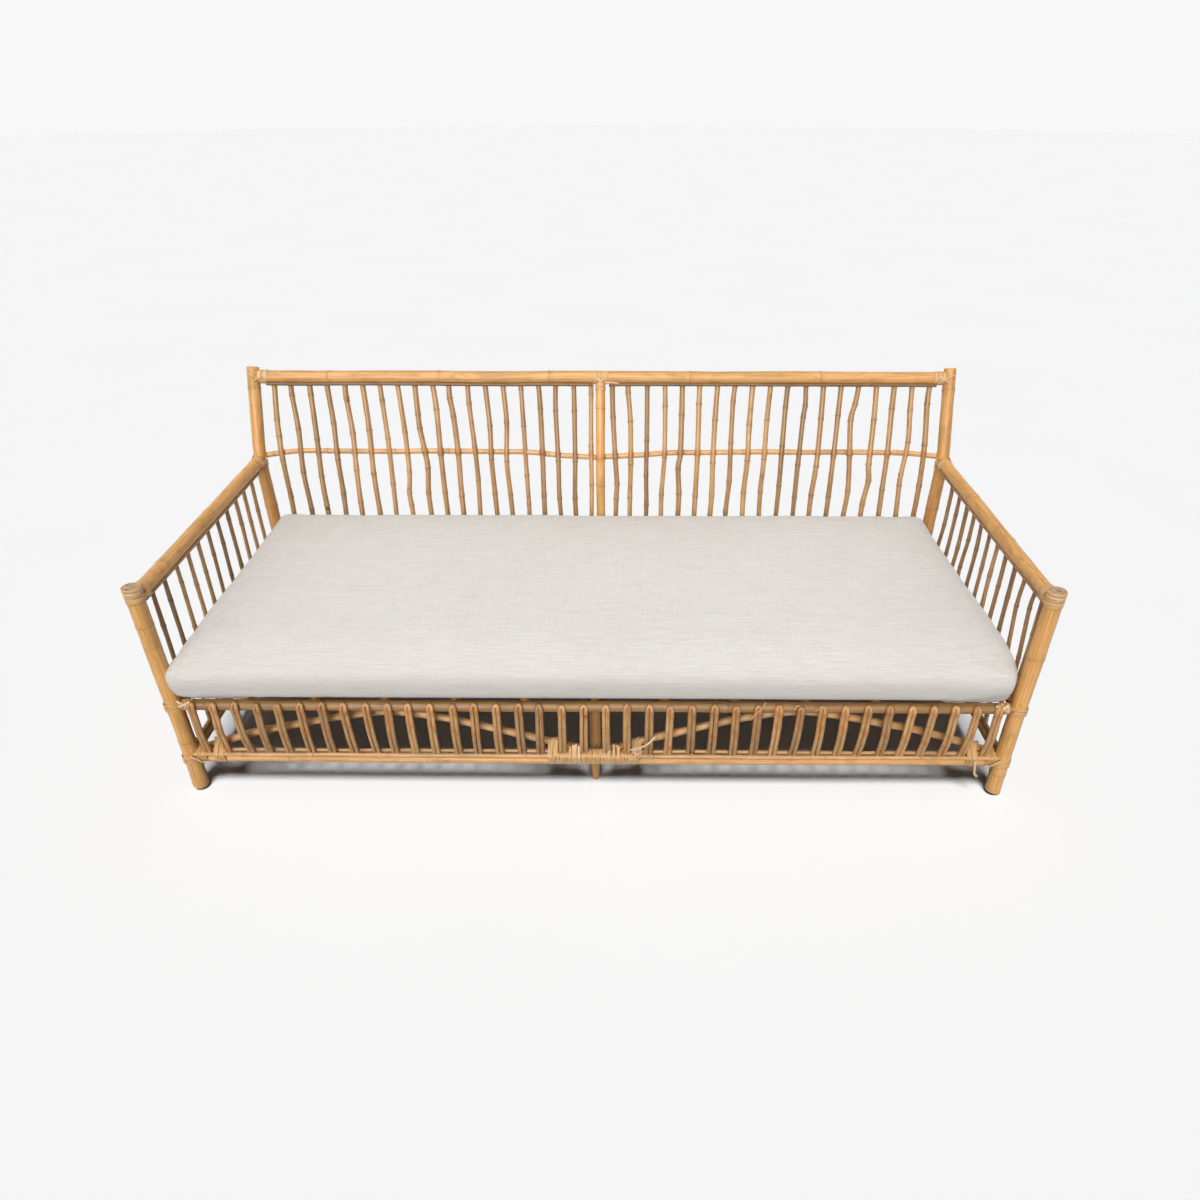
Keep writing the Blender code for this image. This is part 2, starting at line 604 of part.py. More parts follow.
def make_bundle_bindings(parts):
    """At each corner beside the post and past the first slat, and four about the middle."""
    first_gap = POST_X - FRONT_POST_R - END_CLEARANCE - CORNER_BINDING_WIDTH / 2
    for side, tag in ((-1, "left"), (1, "right")):
        bundle_binding("corner_binding_outer_" + tag, side * first_gap,
                       CORNER_BINDING_WIDTH, LOW_BUNDLE_TOP, parts)
        bundle_binding("corner_binding_inner_" + tag, side * (POST_X - 1.5 * APRON_PITCH),
                       BUNDLE_BINDING_WIDTH, HIGH_BUNDLE_TOP, parts)
        bundle_binding("centre_binding_inner_" + tag, side * APRON_PITCH,
                       BUNDLE_BINDING_WIDTH, LOW_BUNDLE_TOP, parts)
        bundle_binding("centre_binding_outer_" + tag, side * 2 * APRON_PITCH,
                       BUNDLE_BINDING_WIDTH, HIGH_BUNDLE_TOP, parts)


# ------------------------------------------------------------------ mattress
def make_mattress(parts):
    """A slab with round corners in plan and a bull-nosed edge all round."""
    mesh = bpy.data.meshes.new("mattress")
    shape = bmesh.new()
    bmesh.ops.create_cube(shape, size=1.0)
    size = Vector((MATTRESS_LENGTH, MATTRESS_DEPTH, MATTRESS_THICKNESS))
    bmesh.ops.scale(shape, vec=size, verts=shape.verts)
    upright = [edge for edge in shape.edges
               if abs(edge.verts[0].co.z - edge.verts[1].co.z) > MATTRESS_THICKNESS / 2]
    bmesh.ops.bevel(shape, geom=upright, offset=MATTRESS_CORNER_R, segments=4,
                    profile=0.5, affect="EDGES", clamp_overlap=True)
    rim = [edge for edge in shape.edges
           if abs(edge.verts[0].co.z - edge.verts[1].co.z) < WELD]
    bmesh.ops.bevel(shape, geom=rim, offset=MATTRESS_EDGE_R, segments=4,
                    profile=0.5, affect="EDGES", clamp_overlap=True)
    shape.to_mesh(mesh)
    shape.free()
    obj = bpy.data.objects.new("mattress", mesh)
    parts.objects.link(obj)
    shade_round(obj)
    finish(obj, LINEN_COLOUR, LINEN_ROUGHNESS)
    return obj


# ------------------------------------------------------------------ assembly
def parent_all(parts):
    """Frame pieces hang on one empty, the mattress on the empty of its own upward travel."""
    frame_empty = bpy.data.objects.new("frame_origin", None)
    parts.objects.link(frame_empty)
    lift_empty = bpy.data.objects.new("mattress_lift_axis", None)
    middle_y = FRONT_Y - MATTRESS_FRONT_OVERHANG + MATTRESS_DEPTH / 2
    lift_empty.location = (0.0, middle_y, DECK_TOP + GAP)
    parts.objects.link(lift_empty)
    for obj in list(parts.objects):
        if obj.type == "EMPTY":
            continue
        if obj.name == "mattress":
            obj.parent = lift_empty
            obj.location = (0.0, 0.0, MATTRESS_THICKNESS / 2)
        else:
            obj.parent = frame_empty


def main():
    clear_scene()
    parts = new_collection("rattan_daybed")
    cutters = new_collection("cutters")
    cutter = make_cutters(cutters)
    make_posts(parts, cutter)
    make_centre_legs(parts)
    make_long_rails(parts, cutter)
    make_side_rails(parts, cutter)
    make_seat_poles(parts, cutter)
    make_back_panels(parts, cutters)
    make_side_panels(parts, cutters)
    make_back_apron(parts, cutters)
    make_front_apron(parts, cutters)
    make_arches(parts)
    make_pole_bindings(parts, cutter)
    make_bundle_bindings(parts)
    make_mattress(parts)
    parent_all(parts)
    bpy.context.view_layer.update()


main()
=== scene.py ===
"""Rattan daybed: the looks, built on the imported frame.  Metres, in the frame of the CAD model."""
import math
import random

import bmesh
import bpy
import numpy as np
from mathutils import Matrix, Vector


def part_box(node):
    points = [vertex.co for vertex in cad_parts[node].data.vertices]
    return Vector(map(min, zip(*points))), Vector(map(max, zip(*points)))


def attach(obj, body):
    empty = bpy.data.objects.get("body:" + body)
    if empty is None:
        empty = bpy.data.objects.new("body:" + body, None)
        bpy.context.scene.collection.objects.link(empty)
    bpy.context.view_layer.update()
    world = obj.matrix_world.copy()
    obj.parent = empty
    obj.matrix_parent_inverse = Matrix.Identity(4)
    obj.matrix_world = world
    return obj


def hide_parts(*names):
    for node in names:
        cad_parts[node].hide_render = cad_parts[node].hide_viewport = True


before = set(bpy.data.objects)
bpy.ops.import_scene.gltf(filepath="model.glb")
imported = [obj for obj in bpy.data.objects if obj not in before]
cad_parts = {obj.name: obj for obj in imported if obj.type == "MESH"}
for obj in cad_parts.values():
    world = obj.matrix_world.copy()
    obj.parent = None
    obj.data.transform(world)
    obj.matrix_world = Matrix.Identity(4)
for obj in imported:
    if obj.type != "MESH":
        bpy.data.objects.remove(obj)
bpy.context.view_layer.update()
random.seed(41)

# ---- sizes of the CAD model (metres)
POST_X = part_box("front_post_right")[1].x - 0.019
FRONT_R = 0.019
BACK_R = 0.0178
FRONT_Y = (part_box("front_post_right")[0].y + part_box("front_post_right")[1].y) / 2
BACK_Y = FRONT_Y + 0.8
FRONT_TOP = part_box("front_post_right")[1].z
BACK_TOP = 0.778
BEND_Z = 0.545
LEAN = math.radians(22.4)
BEND_RADIUS = 0.15
ARM_Z = 0.539
ARM_R = 0.0172
TOP_Z = 0.751
TOP_R = 0.017
TOP_Y = BACK_Y + (TOP_Z - BEND_Z) * math.tan(LEAN)
SEAT_Z = 0.253
SEAT_R = 0.013
SIDE_SEAT_R = 0.012
LOW_Z = 0.095
LOW_R = 0.011
CENTRE_R = 0.013
DECK_Z = SEAT_Z + SEAT_R
SEAT_RAIL_Z = SEAT_Z + 0.0015        # the two front rails are drawn a little high
LOW_RAIL_Z = LOW_Z + 0.0025
NEAR_ROD = (-0.01, 0.1135)           # the thin rods on the front bottom rail: depth from FRONT_Y, height
FAR_ROD = (0.003, 0.1176)
ARCH_START, ARCH_SPAN = 0.03, 0.925  # an arched brace's inner end and its length, along x
ARCH_DEPTH = 0.0185                  # behind FRONT_Y
END_ROD = 0.0061                     # from a thin rod's axis to the pole that it lies on
SEAT_POLE_R = 0.0118
LEAN_UP = Vector((0.0, math.sin(LEAN), math.cos(LEAN)))
SIDES = ((-1, "left"), (1, "right"))
X_AXIS, Y_AXIS, Z_AXIS = (1.0, 0.0, 0.0), (0.0, 1.0, 0.0), (0.0, 0.0, 1.0)
OUTWARD = (0, -1, 0)  # towards the front
FULL_TURN = 6.28      # range of the random phases


def vary(reach):
    """A random step either way."""
    return random.uniform(-reach, reach)


# ---- objects
def show(obj):
    bpy.context.scene.collection.objects.link(obj)
    return obj


def show_shape(name, shape):
    """An object in the scene from a bmesh, which is freed."""
    mesh = bpy.data.meshes.new(name)
    shape.to_mesh(mesh)
    shape.free()
    return show(bpy.data.objects.new(name, mesh))


# ---- node material helpers
class Nodes:
    """A small builder for one material's node tree."""

    def __init__(self, name):
        self.material = bpy.data.materials.new(name)
        self.material.use_nodes = True
        self.tree = self.material.node_tree
        self.shader = self.tree.nodes["Principled BSDF"]

    def add(self, kind, sockets=None, **values):
        """A node with its settings, and what its named sockets take: a link or a value."""
        node = self.tree.nodes.new(kind)
        for key, value in values.items():
            setattr(node, key, value)
        for key, value in (sockets or {}).items():
            self.feed(node.inputs[key], value)
        return node

    def feed(self, socket, value):
        if isinstance(value, bpy.types.NodeSocket):
            self.tree.links.new(value, socket)
        else:
            socket.default_value = value

    def attribute(self, name, output="Fac"):
        return self.add("ShaderNodeAttribute", attribute_name=name).outputs[output]

    def noise(self, vector, scale, detail=3.0, roughness=0.55, distortion=0.0, location=(0.0, 0.0, 0.0)):
        """Noise of a vector that is first stretched along its axes."""
        mapping = self.add("ShaderNodeMapping", {"Vector": vector, "Scale": scale, "Location": location})
        sockets = {"Vector": mapping.outputs["Vector"], "Scale": 1.0, "Detail": detail,
                   "Roughness": roughness, "Distortion": distortion}
        return self.add("ShaderNodeTexNoise", sockets).outputs["Fac"]

    def math(self, operation, a, b=0.0, c=0.0):
        node = self.add("ShaderNodeMath", operation=operation)
        for socket, value in zip(node.inputs, (a, b, c)):
            self.feed(socket, value)
        return node.outputs["Value"]

    def spread(self, value, low, high, out_low=0.0, out_high=1.0):
        """Map low..high to out_low..out_high, clamped, with a smooth step."""
        sockets = {"Value": value, "From Min": low, "From Max": high, "To Min": out_low, "To Max": out_high}
        return self.add("ShaderNodeMapRange", sockets, interpolation_type="SMOOTHSTEP").outputs["Result"]

    def ramp(self, value, *stops):
        node = self.add("ShaderNodeValToRGB", {"Fac": value})
        elements = node.color_ramp.elements
        while len(elements) < len(stops):
            elements.new(0.5)
        for element, (place, colour) in zip(elements, stops):
            element.position = place
            element.color = (*colour, 1.0)
        return node.outputs["Color"]

    def mix(self, factor, a, b, blend="MIX"):
        a, b = ((*value, 1.0) if isinstance(value, tuple) else value for value in (a, b))
        node = self.add("ShaderNodeMix", data_type="RGBA", blend_type=blend)
        for key, value in (("Factor", factor), ("A", a), ("B", b)):
            self.feed(node.inputs[key], value)
        return node.outputs["Result"]

    def bump(self, height, distance, strength, **under):
        return self.add("ShaderNodeBump", {"Height": height, "Distance": distance, "Strength": strength,
                                           **under}).outputs["Normal"]

    def finish(self, **surface):
        """Set the shader's sockets, constants straight on them, and return the material."""
        for key, value in surface.items():
            self.feed(self.shader.inputs[key.replace("_", " ")], value)
        return self.material


# ---- materials
def rattan_material(name, pale, warm, deep, olive, scar, shade=1.0):
    """Lacquered cane skin: streaks along the pole, olive patches, node scars and stained joints."""
    n = Nodes(name)
    coord = n.attribute("cane_coord", "Vector")
    tone = n.attribute("cane_tone")
    ring = n.attribute("cane_ring")
    stain = n.attribute("cane_stain")
    streak = n.noise(coord, (330.0, 330.0, 7.0), detail=4.0, roughness=0.62)
    fibre = n.noise(coord, (1500.0, 1500.0, 26.0), detail=2.0)
    patch = n.noise(coord, (26.0, 26.0, 7.5), detail=3.0, distortion=0.6)
    blotch = n.noise(coord, (60.0, 60.0, 22.0), detail=4.0, roughness=0.6)
    speck = n.noise(coord, (420.0, 420.0, 160.0), detail=2.0)
    base = n.ramp(streak, (0.3, deep), (0.46, warm), (0.62, pale))
    base = n.mix(n.spread(patch, 0.52, 0.7, 0.0, 0.62), base, olive)
    base = n.mix(n.spread(blotch, 0.54, 0.7, 0.0, 0.6), base, deep)
    base = n.mix(n.spread(blotch, 0.42, 0.26, 0.0, 0.4), base, pale)
    base = n.mix(n.spread(speck, 0.7, 0.78, 0.0, 0.55), base, (0.17, 0.08, 0.03))
    band = n.math("MULTIPLY", n.spread(ring, -0.001, 0.001), n.spread(ring, 0.022, 0.003))
    base = n.mix(n.math("MULTIPLY", band, n.spread(patch, 0.35, 0.6, 0.12, 0.5)), base, olive)
    line = n.spread(n.math("ABSOLUTE", ring), 0.0019, 0.0004)
    broken = n.spread(n.noise(coord, (150.0, 150.0, 40.0)), 0.36, 0.62, 0.05, scar)
    base = n.mix(n.math("MULTIPLY", line, broken), base, (0.16, 0.08, 0.032))
    rust = n.math("MULTIPLY", stain, n.spread(blotch, 0.3, 0.62, 0.55, 1.0))
    base = n.mix(rust, base, (0.5, 0.19, 0.045))
    # cane_tone sets the colour's level: a random tone on most pieces, and on a few a low tone that is
    # painted shade
    value = n.math("MULTIPLY_ADD", tone, 0.38 * shade, 0.74 * shade)
    level = n.add("ShaderNodeCombineColor")
    for socket in level.inputs:
        n.feed(socket, value)
    base = n.mix(1.0, base, level.outputs["Color"], "MULTIPLY")
    rough = n.math("ADD", n.spread(streak, 0.2, 0.8, 0.3, 0.5), n.spread(patch, 0.4, 0.7, 0.0, 0.14))
    height = n.math("ADD", n.math("MULTIPLY", fibre, 0.5), n.math("MULTIPLY", streak, 1.0))
    normal = n.bump(height, 0.0005, 0.55)
    normal = n.bump(n.math("SUBTRACT", 1.0, line), 0.0007, 0.7, Normal=normal)
    return n.finish(Base_Color=base, Roughness=rough, Coat_Weight=0.22, Coat_Roughness=0.28, Normal=normal)


def cut_end_material():
    """Sawn rattan: a pale pithy face dotted with dark pores."""
    n = Nodes("sawn_end")
    coord = n.attribute("cane_coord", "Vector")
    cells = n.add("ShaderNodeTexVoronoi", feature="F1")
    fine = n.add("ShaderNodeMapping", {"Vector": coord, "Scale": (900.0, 900.0, 900.0)})
    n.feed(cells.inputs["Vector"], fine.outputs["Vector"])
    pores = n.spread(cells.outputs["Distance"], 0.16, 0.34)
    dirt = n.noise(coord, (90.0, 90.0, 90.0), detail=4.0)
    base = n.ramp(dirt, (0.3, (0.24, 0.16, 0.1)), (0.52, (0.46, 0.34, 0.22)), (0.72, (0.6, 0.48, 0.34)))
    base = n.mix(n.math("SUBTRACT", 1.0, pores), base, (0.15, 0.09, 0.05))
    return n.finish(Base_Color=base, Roughness=n.spread(dirt, 0.3, 0.7, 0.7, 0.9),
                    Normal=n.bump(pores, 0.0006, 0.6))


def binding_material():
    """Flat split cane: straw and greyish strands with fine lengthwise fibres."""
    n = Nodes("split_cane")
    coord = n.attribute("cane_coord", "Vector")
    tone = n.attribute("cane_tone")
    fibre = n.noise(coord, (1300.0, 1300.0, 30.0), detail=3.0)
    cloud = n.noise(coord, (90.0, 90.0, 25.0), detail=4.0)
    base = n.ramp(tone, (0.0, (0.44, 0.235, 0.095)), (0.35, (0.69, 0.38, 0.135)), (0.7, (0.78, 0.46, 0.195)),
                  (1.0, (0.84, 0.62, 0.4)))
    base = n.mix(n.spread(fibre, 0.35, 0.62, 0.5, 0.0), base, (0.3, 0.17, 0.08))
    base = n.mix(n.spread(cloud, 0.5, 0.7, 0.0, 0.45), base, (0.51, 0.33, 0.17))
    return n.finish(Base_Color=base, Roughness=n.spread(cloud, 0.3, 0.7, 0.36, 0.58), Coat_Weight=0.1,
                    Coat_Roughness=0.35, Normal=n.bump(fibre, 0.0004, 0.6))


def linen_material():
    """Melange linen: uneven threads both ways, darker slubs, and a soft nap."""
    n = Nodes("melange_linen")
    coord = n.add("ShaderNodeTexCoord").outputs["Object"]
    along = n.noise(coord, (16.0, 520.0, 520.0), detail=3.0, roughness=0.6)
    across = n.noise(coord, (520.0, 18.0, 300.0), detail=3.0, roughness=0.6, location=(3.1, 0.7, 0.2))
    slub = n.noise(coord, (9.0, 260.0, 260.0), detail=2.0, location=(0.4, 1.9, 5.2))
    cloud = n.noise(coord, (2.6, 3.4, 4.0), detail=3.0)
    base = n.ramp(along, (0.3, (0.665, 0.635, 0.59)), (0.5, (0.74, 0.715, 0.68)),
                  (0.68, (0.795, 0.775, 0.745)))
    cross = n.ramp(across, (0.3, (0.85, 0.845, 0.835)), (0.6, (1.0, 1.0, 1.0)))
    base = n.mix(0.62, base, cross, "MULTIPLY")
    base = n.mix(n.spread(slub, 0.58, 0.7, 0.0, 0.36), base, (0.58, 0.545, 0.495))
    base = n.mix(n.spread(slub, 0.4, 0.28, 0.0, 0.36), base, (0.86, 0.845, 0.82))
    base = n.mix(n.spread(cloud, 0.4, 0.66, 0.0, 0.16), base, (0.67, 0.645, 0.6))
    rough = n.spread(along, 0.3, 0.7, 0.86, 0.96)
    axes = n.add("ShaderNodeSeparateXYZ", {"Vector": coord})
    thread = 2 * math.pi / 0.0011
    waves = [n.math("SINE", n.math("MULTIPLY", axes.outputs[k], thread)) for k in ("X", "Y", "Z")]
    weave = n.math("ADD", waves[0], n.math("ADD", waves[1], waves[2]))
    height = n.math("ADD", n.math("MULTIPLY", weave, 0.16), n.math("ADD", along, across))
    return n.finish(Base_Color=base, Roughness=rough, Sheen_Weight=0.18, Sheen_Roughness=0.45,
                    Normal=n.bump(height, 0.0006, 0.55))


POLE = rattan_material("rattan_pole_skin", (0.81, 0.46, 0.165), (0.71, 0.35, 0.103),
                       (0.48, 0.208, 0.056), (0.47, 0.275, 0.08), 0.6)
CANE = rattan_material("rattan_cane_skin", (0.69, 0.41, 0.175), (0.56, 0.3, 0.115),
                       (0.33, 0.16, 0.06), (0.4, 0.25, 0.095), 0.8, 0.97)
SAWN = cut_end_material()
SPLIT = binding_material()
LINEN = linen_material()


# ---- mesh collecting
NO_NODE = 0.05        # distance to the nearest growth node where there is none


class Bag:
    """Vertices, faces and their surface values, gathered for one object."""

    def __init__(self):
        self.points = []
        self.values = {"cane_coord": [], "cane_ring": [], "cane_tone": [], "cane_stain": []}
        self.faces = []
        self.slots = []
        self.smooth = []
        self.count = 0

    def add(self, points, coord, *values):
        """Points with their texture place, then ring, tone and stain: one value, or one for each point."""
        start, size = self.count, len(points)
        self.points.append(points)
        for kept, value in zip(self.values.values(), (coord, *(np.broadcast_to(v, size) for v in values))):
            kept.append(value)
        self.count += size
        return start

    def face(self, corners, slot, smooth):
        self.faces.append(corners)
        self.slots.append(slot)
        self.smooth.append(smooth)

    def tube(self, rows, coord, ring, tone, stain):
        """Rows of points joined into an open tube; ring and stain are one value, or one for each row."""
        count, sides = rows.shape[:2]
        ring, stain = (np.repeat(np.broadcast_to(value, count), sides) for value in (ring, stain))
        start = self.add(rows.reshape(-1, 3), coord.reshape(-1, 3), ring, tone, stain)
        for a in range(start, start + (count - 1) * sides, sides):
            b = a + sides
            for k in range(sides):
                m = (k + 1) % sides
                self.face((a + k, a + m, b + m, b + k), 0, True)
        return start

    def caps(self, rows, coord, tone):
        """Flat sawn faces over both ends of a tube."""
        for row, order in ((0, -1), (len(rows) - 1, 1)):
            first = self.add(rows[row], coord[row], NO_NODE, tone, 0.0)
            self.face(tuple(first + k for k in range(len(rows[row])))[::order], 1, False)

    def build(self, name, node, slot, *materials):
        """The finished piece, riding the frame and standing for one CAD node."""
        mesh = bpy.data.meshes.new(name)
        mesh.from_pydata(np.vstack(self.points).tolist(), [], self.faces)
        for key, kept in self.values.items():
            kind, field = ("FLOAT_VECTOR", "vector") if key == "cane_coord" else ("FLOAT", "value")
            layer = mesh.attributes.new(key, kind, "POINT")
            layer.data.foreach_set(field, np.concatenate(kept).astype(np.float32).ravel())
        mesh.polygons.foreach_set("material_index", self.slots)
        mesh.polygons.foreach_set("use_smooth", self.smooth)
        for material in materials:
            mesh.materials.append(material)
        mesh.update()
        obj = show(bpy.data.objects.new(name, mesh))
        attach(obj, "frame")
        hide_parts(node)

    def build_pole(self, node):
        self.build("rattan_" + node, node, "rattan_pole", POLE, SAWN)

    def build_canes(self, node):
        self.build("rattan_" + node, node, "rattan_cane", CANE, SAWN)

    def build_binding(self, place, tag):
        self.build(f"binding_{place}_{tag}", f"{place}_binding_{tag}", "cane_binding", SPLIT)


# ---- rods
def smooth_line(points, per_span=12):
    """A Catmull-Rom curve through the points, as a dense polyline."""
    p = np.array([tuple(q) for q in points], float)
    if len(p) < 3:
        return p
    padded = np.vstack([2 * p[0] - p[1], p, 2 * p[-1] - p[-2]])
    t = np.linspace(0, 1, per_span, endpoint=False)[:, None]
    spans = []
    for i in range(len(p) - 1):
        a, b, c, d = padded[i:i + 4]
        spans.append(0.5 * (2 * b + (c - a) * t + (2 * a - 5 * b + 4 * c - d) * t ** 2
                            + (3 * b - a - 3 * c + d) * t ** 3))
    spans.append(p[-1:])
    return np.vstack(spans)


def skin_coord(across, outward, s):
    """Texture places: the section's own axes, then the distance along."""
    shape = len(s), np.shape(across)[-1]
    return np.stack([np.broadcast_to(across, shape), np.broadcast_to(outward, shape),
                     np.broadcast_to(s[:, None], shape)], axis=2)


def random_place():
    """An offset that gives each rod and strand its own part of the texture."""
    return np.array([random.uniform(0, 3) for _ in range(3)])


def frames_along(centre):
    """Two normals for each point, carried along without twist."""
    tangent = np.gradient(centre, axis=0)
    tangent /= np.linalg.norm(tangent, axis=1)[:, None]
    first = np.array((0.0, -1.0, 0.0)) if abs(tangent[0][1]) < 0.9 else np.array((0.0, 0.0, 1.0))
    normals = np.zeros_like(centre)
    current = first
    for i, t in enumerate(tangent):
        current = current - t * (current @ t)
        current = current / np.linalg.norm(current)
        normals[i] = current
    return normals, np.cross(tangent, normals)


def node_places(length, spacing):
    """Where the growth nodes lie along a pole."""
    places = []
    at = random.uniform(0.15, 0.9) * spacing
    while at < length - 0.015:
        places.append(at)
        at += spacing * random.uniform(0.75, 1.25)
    return places


def around(centre, reach, angle, u, v):
    """Rows of points round a centre line, with a reach for each row or each point."""
    return (centre[:, None, :] + (reach * np.cos(angle))[:, :, None] * u[:, None, :]
            + (reach * np.sin(angle))[:, :, None] * v[:, None, :])


def rod(bag, points, radius, sides, spacing, nodes, tone, ends=("cut", "cut"), taper=(1.0, 1.0),
        swell=0.05, lumps=0.014, stains=(), slant=0.0, blush=(0.0, 0.0)):
    """One pole or cane along the points, with swollen nodes, uneven skin and finished ends.

    spacing is the step between its rows of points.  slant cuts the foot askew, stains are
    rusty swellings where other canes cross, and blush is how stained each end is.
    """
    line = smooth_line(points)
    steps = np.linalg.norm(np.diff(line, axis=0), axis=1)
    dist = np.concatenate([[0.0], np.cumsum(steps)])
    total = dist[-1]
    s = list(np.linspace(0.0, total, max(3, int(total / spacing) + 1)))
    for place in nodes:
        s += [place + d for d in (-0.006, -0.003, -0.0012, 0.0, 0.0012, 0.003, 0.006)]
    depth = [0.0016 if kind == "cut" else 0.75 * radius for kind in ends]
    share = (0.0, 0.06, 0.2, 0.45, 1.0)
    s += [depth[0] * k for k in share] + [total - depth[1] * k for k in share]
    s = np.unique(np.round(np.clip(s, 0.0, total), 5))
    centre = np.column_stack([np.interp(s, dist, line[:, k]) for k in range(3)])
    u, v = frames_along(centre)
    r = radius * (taper[0] + (taper[1] - taper[0]) * s / total)
    gap = np.full(len(s), NO_NODE)
    for place in nodes:
        near = s - place
        gap = np.where(np.abs(near) < np.abs(gap), near, gap)
    r = r * (1 + swell * np.exp(-(gap / 0.003) ** 2) + 0.45 * swell * np.exp(-((gap - 0.004) / 0.016) ** 2))
    for place in stains:
        r = r * (1 + 0.17 * np.exp(-((s - place) / 0.0055) ** 2))
    for end, away in ((0, s), (1, total - s)):
        if ends[end] == "round":
            t = np.clip(away / depth[end], 0.0, 1.0)
            r = r * np.where(t < 1, np.sqrt(np.clip(1 - 0.93 * (1 - t) ** 2, 0.05, 1)), 1.0)
        else:
            r = r * (1 - 0.07 * np.clip(1 - away / depth[end], 0.0, 1.0))
    angle = np.arange(sides) * 2 * math.pi / sides
    phase = [random.uniform(0, FULL_TURN) for _ in range(4)]
    wave = (np.sin(2 * angle[None, :] + phase[0] + s[:, None] * 9)
            + np.sin(3 * angle[None, :] + phase[1] - s[:, None] * 14)
            + np.sin(s[:, None] * 23 + phase[2]) + 0.6 * np.sin(s[:, None] * 61 + phase[3]))
    reach = r[:, None] * (1 + lumps * wave / 2)
    rows = around(centre, reach, angle, u, v)
    if slant:
        fade = np.clip(1 - s / 0.03, 0.0, 1.0)[:, None, None]
        across = radius - (rows[:, :, 0] - centre[:, 0][:, None])
        rows = rows + fade * (across * slant)[:, :, None] * np.array(Z_AXIS)
    coord = skin_coord(np.cos(angle) * radius, np.sin(angle) * radius, s) + random_place()
    stain = blush[0] + (blush[1] - blush[0]) * s / total
    for place in stains:
        stain = np.maximum(stain, np.exp(-((s - place) / 0.0075) ** 2))
    bag.tube(rows, coord, gap, tone, stain)
    bag.caps(rows, coord, tone)


def pole(node, points, radius, nodes, tone, spacing=0.24, sides=20, **options):
    """A pole that is a piece of its own."""
    length = sum((Vector(b) - Vector(a)).length for a, b in zip(points, points[1:]))
    node_places(length, spacing)    # these places aren't used: they keep the order of the random draws
    bag = Bag()
    rod(bag, points, radius, sides, 0.01, nodes, tone, **options)
    bag.build_pole(node)


# ---- split cane windings
def hull_loop(circles):
    """Points and outward normals of a band pulled tight round some circles, in their plane."""
    loop = []
    for k in range(LOOP_STEPS):
        angle = 2 * math.pi * k / LOOP_STEPS
        out = np.array((math.cos(angle), math.sin(angle)))
        place, radius = max(circles, key=lambda c: np.dot(c[0], out) + c[1])
        loop.append((np.array(place) + radius * out, out))
    return loop


STRAND_SECTION = (    # across and up, in shares of the width and thickness
    (-0.5, -0.2), (-0.5, 0.45), (-0.36, 0.86), (0.0, 1.0), (0.36, 0.86), (0.5, 0.45), (0.5, -0.2),
)
STRAND = 0.0014       # thickness of split cane
LOOP_STEPS = 40       # points in one turn of a winding


def strip(bag, points, normals, width, thickness, tone):
    """A flat strand with a slightly crowned face, laid along the points."""
    p = np.array(points, float)
    nrm = np.array(normals, float)
    tangent = np.gradient(p, axis=0)
    tangent /= np.linalg.norm(tangent, axis=1)[:, None] + 1e-12
    nrm = nrm - tangent * np.sum(nrm * tangent, axis=1)[:, None]
    nrm /= np.linalg.norm(nrm, axis=1)[:, None]
    side = np.cross(tangent, nrm)
    lay = np.array(STRAND_SECTION) * (width, thickness)
    rows = p[:, None, :] + lay[None, :, 0, None] * side[:, None, :] + lay[None, :, 1, None] * nrm[:, None, :]
    s = np.concatenate([[0.0], np.cumsum(np.linalg.norm(np.diff(p, axis=0), axis=1))])
    start = bag.tube(rows, skin_coord(lay[:, 0], lay[:, 1], s) + random_place(), NO_NODE, tone, 0.0)
    size = len(lay)
    last = start + (len(p) - 1) * size
    bag.face(tuple(range(start, start + size))[::-1], 0, False)
    bag.face(tuple(range(last, last + size)), 0, False)


def wind(bag, origin, axis, circles, first, turns, width, pitch, tone, tilt=0.0, start_angle=0.0, lift=0.0):
    """Turns of split cane round one pole or a bundle; circles are ((u, v), radius) across the axis."""
    u = np.array(Y_AXIS if axis == X_AXIS else Z_AXIS if axis == Y_AXIS else X_AXIS)
    axis = np.array(axis, float)
    v = np.cross(axis, u)
    loop = hull_loop([(c, r + lift) for c, r in circles])
    begin = int(start_angle / (2 * math.pi) * LOOP_STEPS)
    points, normals = [], []
    wobble = random.uniform(0, FULL_TURN)
    for k in range(int(turns * LOOP_STEPS) + 1):
        place, out = loop[(begin + k) % LOOP_STEPS]
        at = first + pitch * k / LOOP_STEPS + tilt * out[0] + 0.0005 * math.sin(wobble + k * 0.37)
        points.append(np.array(origin) + axis * at + u * place[0] + v * place[1])
        normals.append(u * out[0] + v * out[1])
    strip(bag, points, normals, width, STRAND, tone)


def hoop(bag, origin, axis, circles, width, tones, tilt=None, pitch=0.0004, turns=1.03, lift=0.0):
    """One turn round a pole, given by its radius, or a bundle, with a tone and a tilt drawn at random."""
    if isinstance(circles, float):
        circles = [((0.0, 0.0), circles)]
    tone = random.uniform(*tones)
    tilt = vary(tilt) if tilt else 0.0
    wind(bag, origin, axis, circles, 0.0, turns, width, pitch, tone, tilt, 0.0, lift)


def lay_strip(bag, side, anchor, steps, normals, width, tone, thickness=STRAND):
    """A strand through a few steps from an anchor, mirrored to the left for side -1.

    Its normals are one for all steps or one for each.
    """
    points = [(side * (anchor[0] + x), anchor[1] + y, anchor[2] + z) for x, y, z in steps]
    if isinstance(normals, tuple):
        normals = [normals] * len(points)
    strip(bag, smooth_line(points, 6), smooth_line(normals, 6), width, thickness, tone)


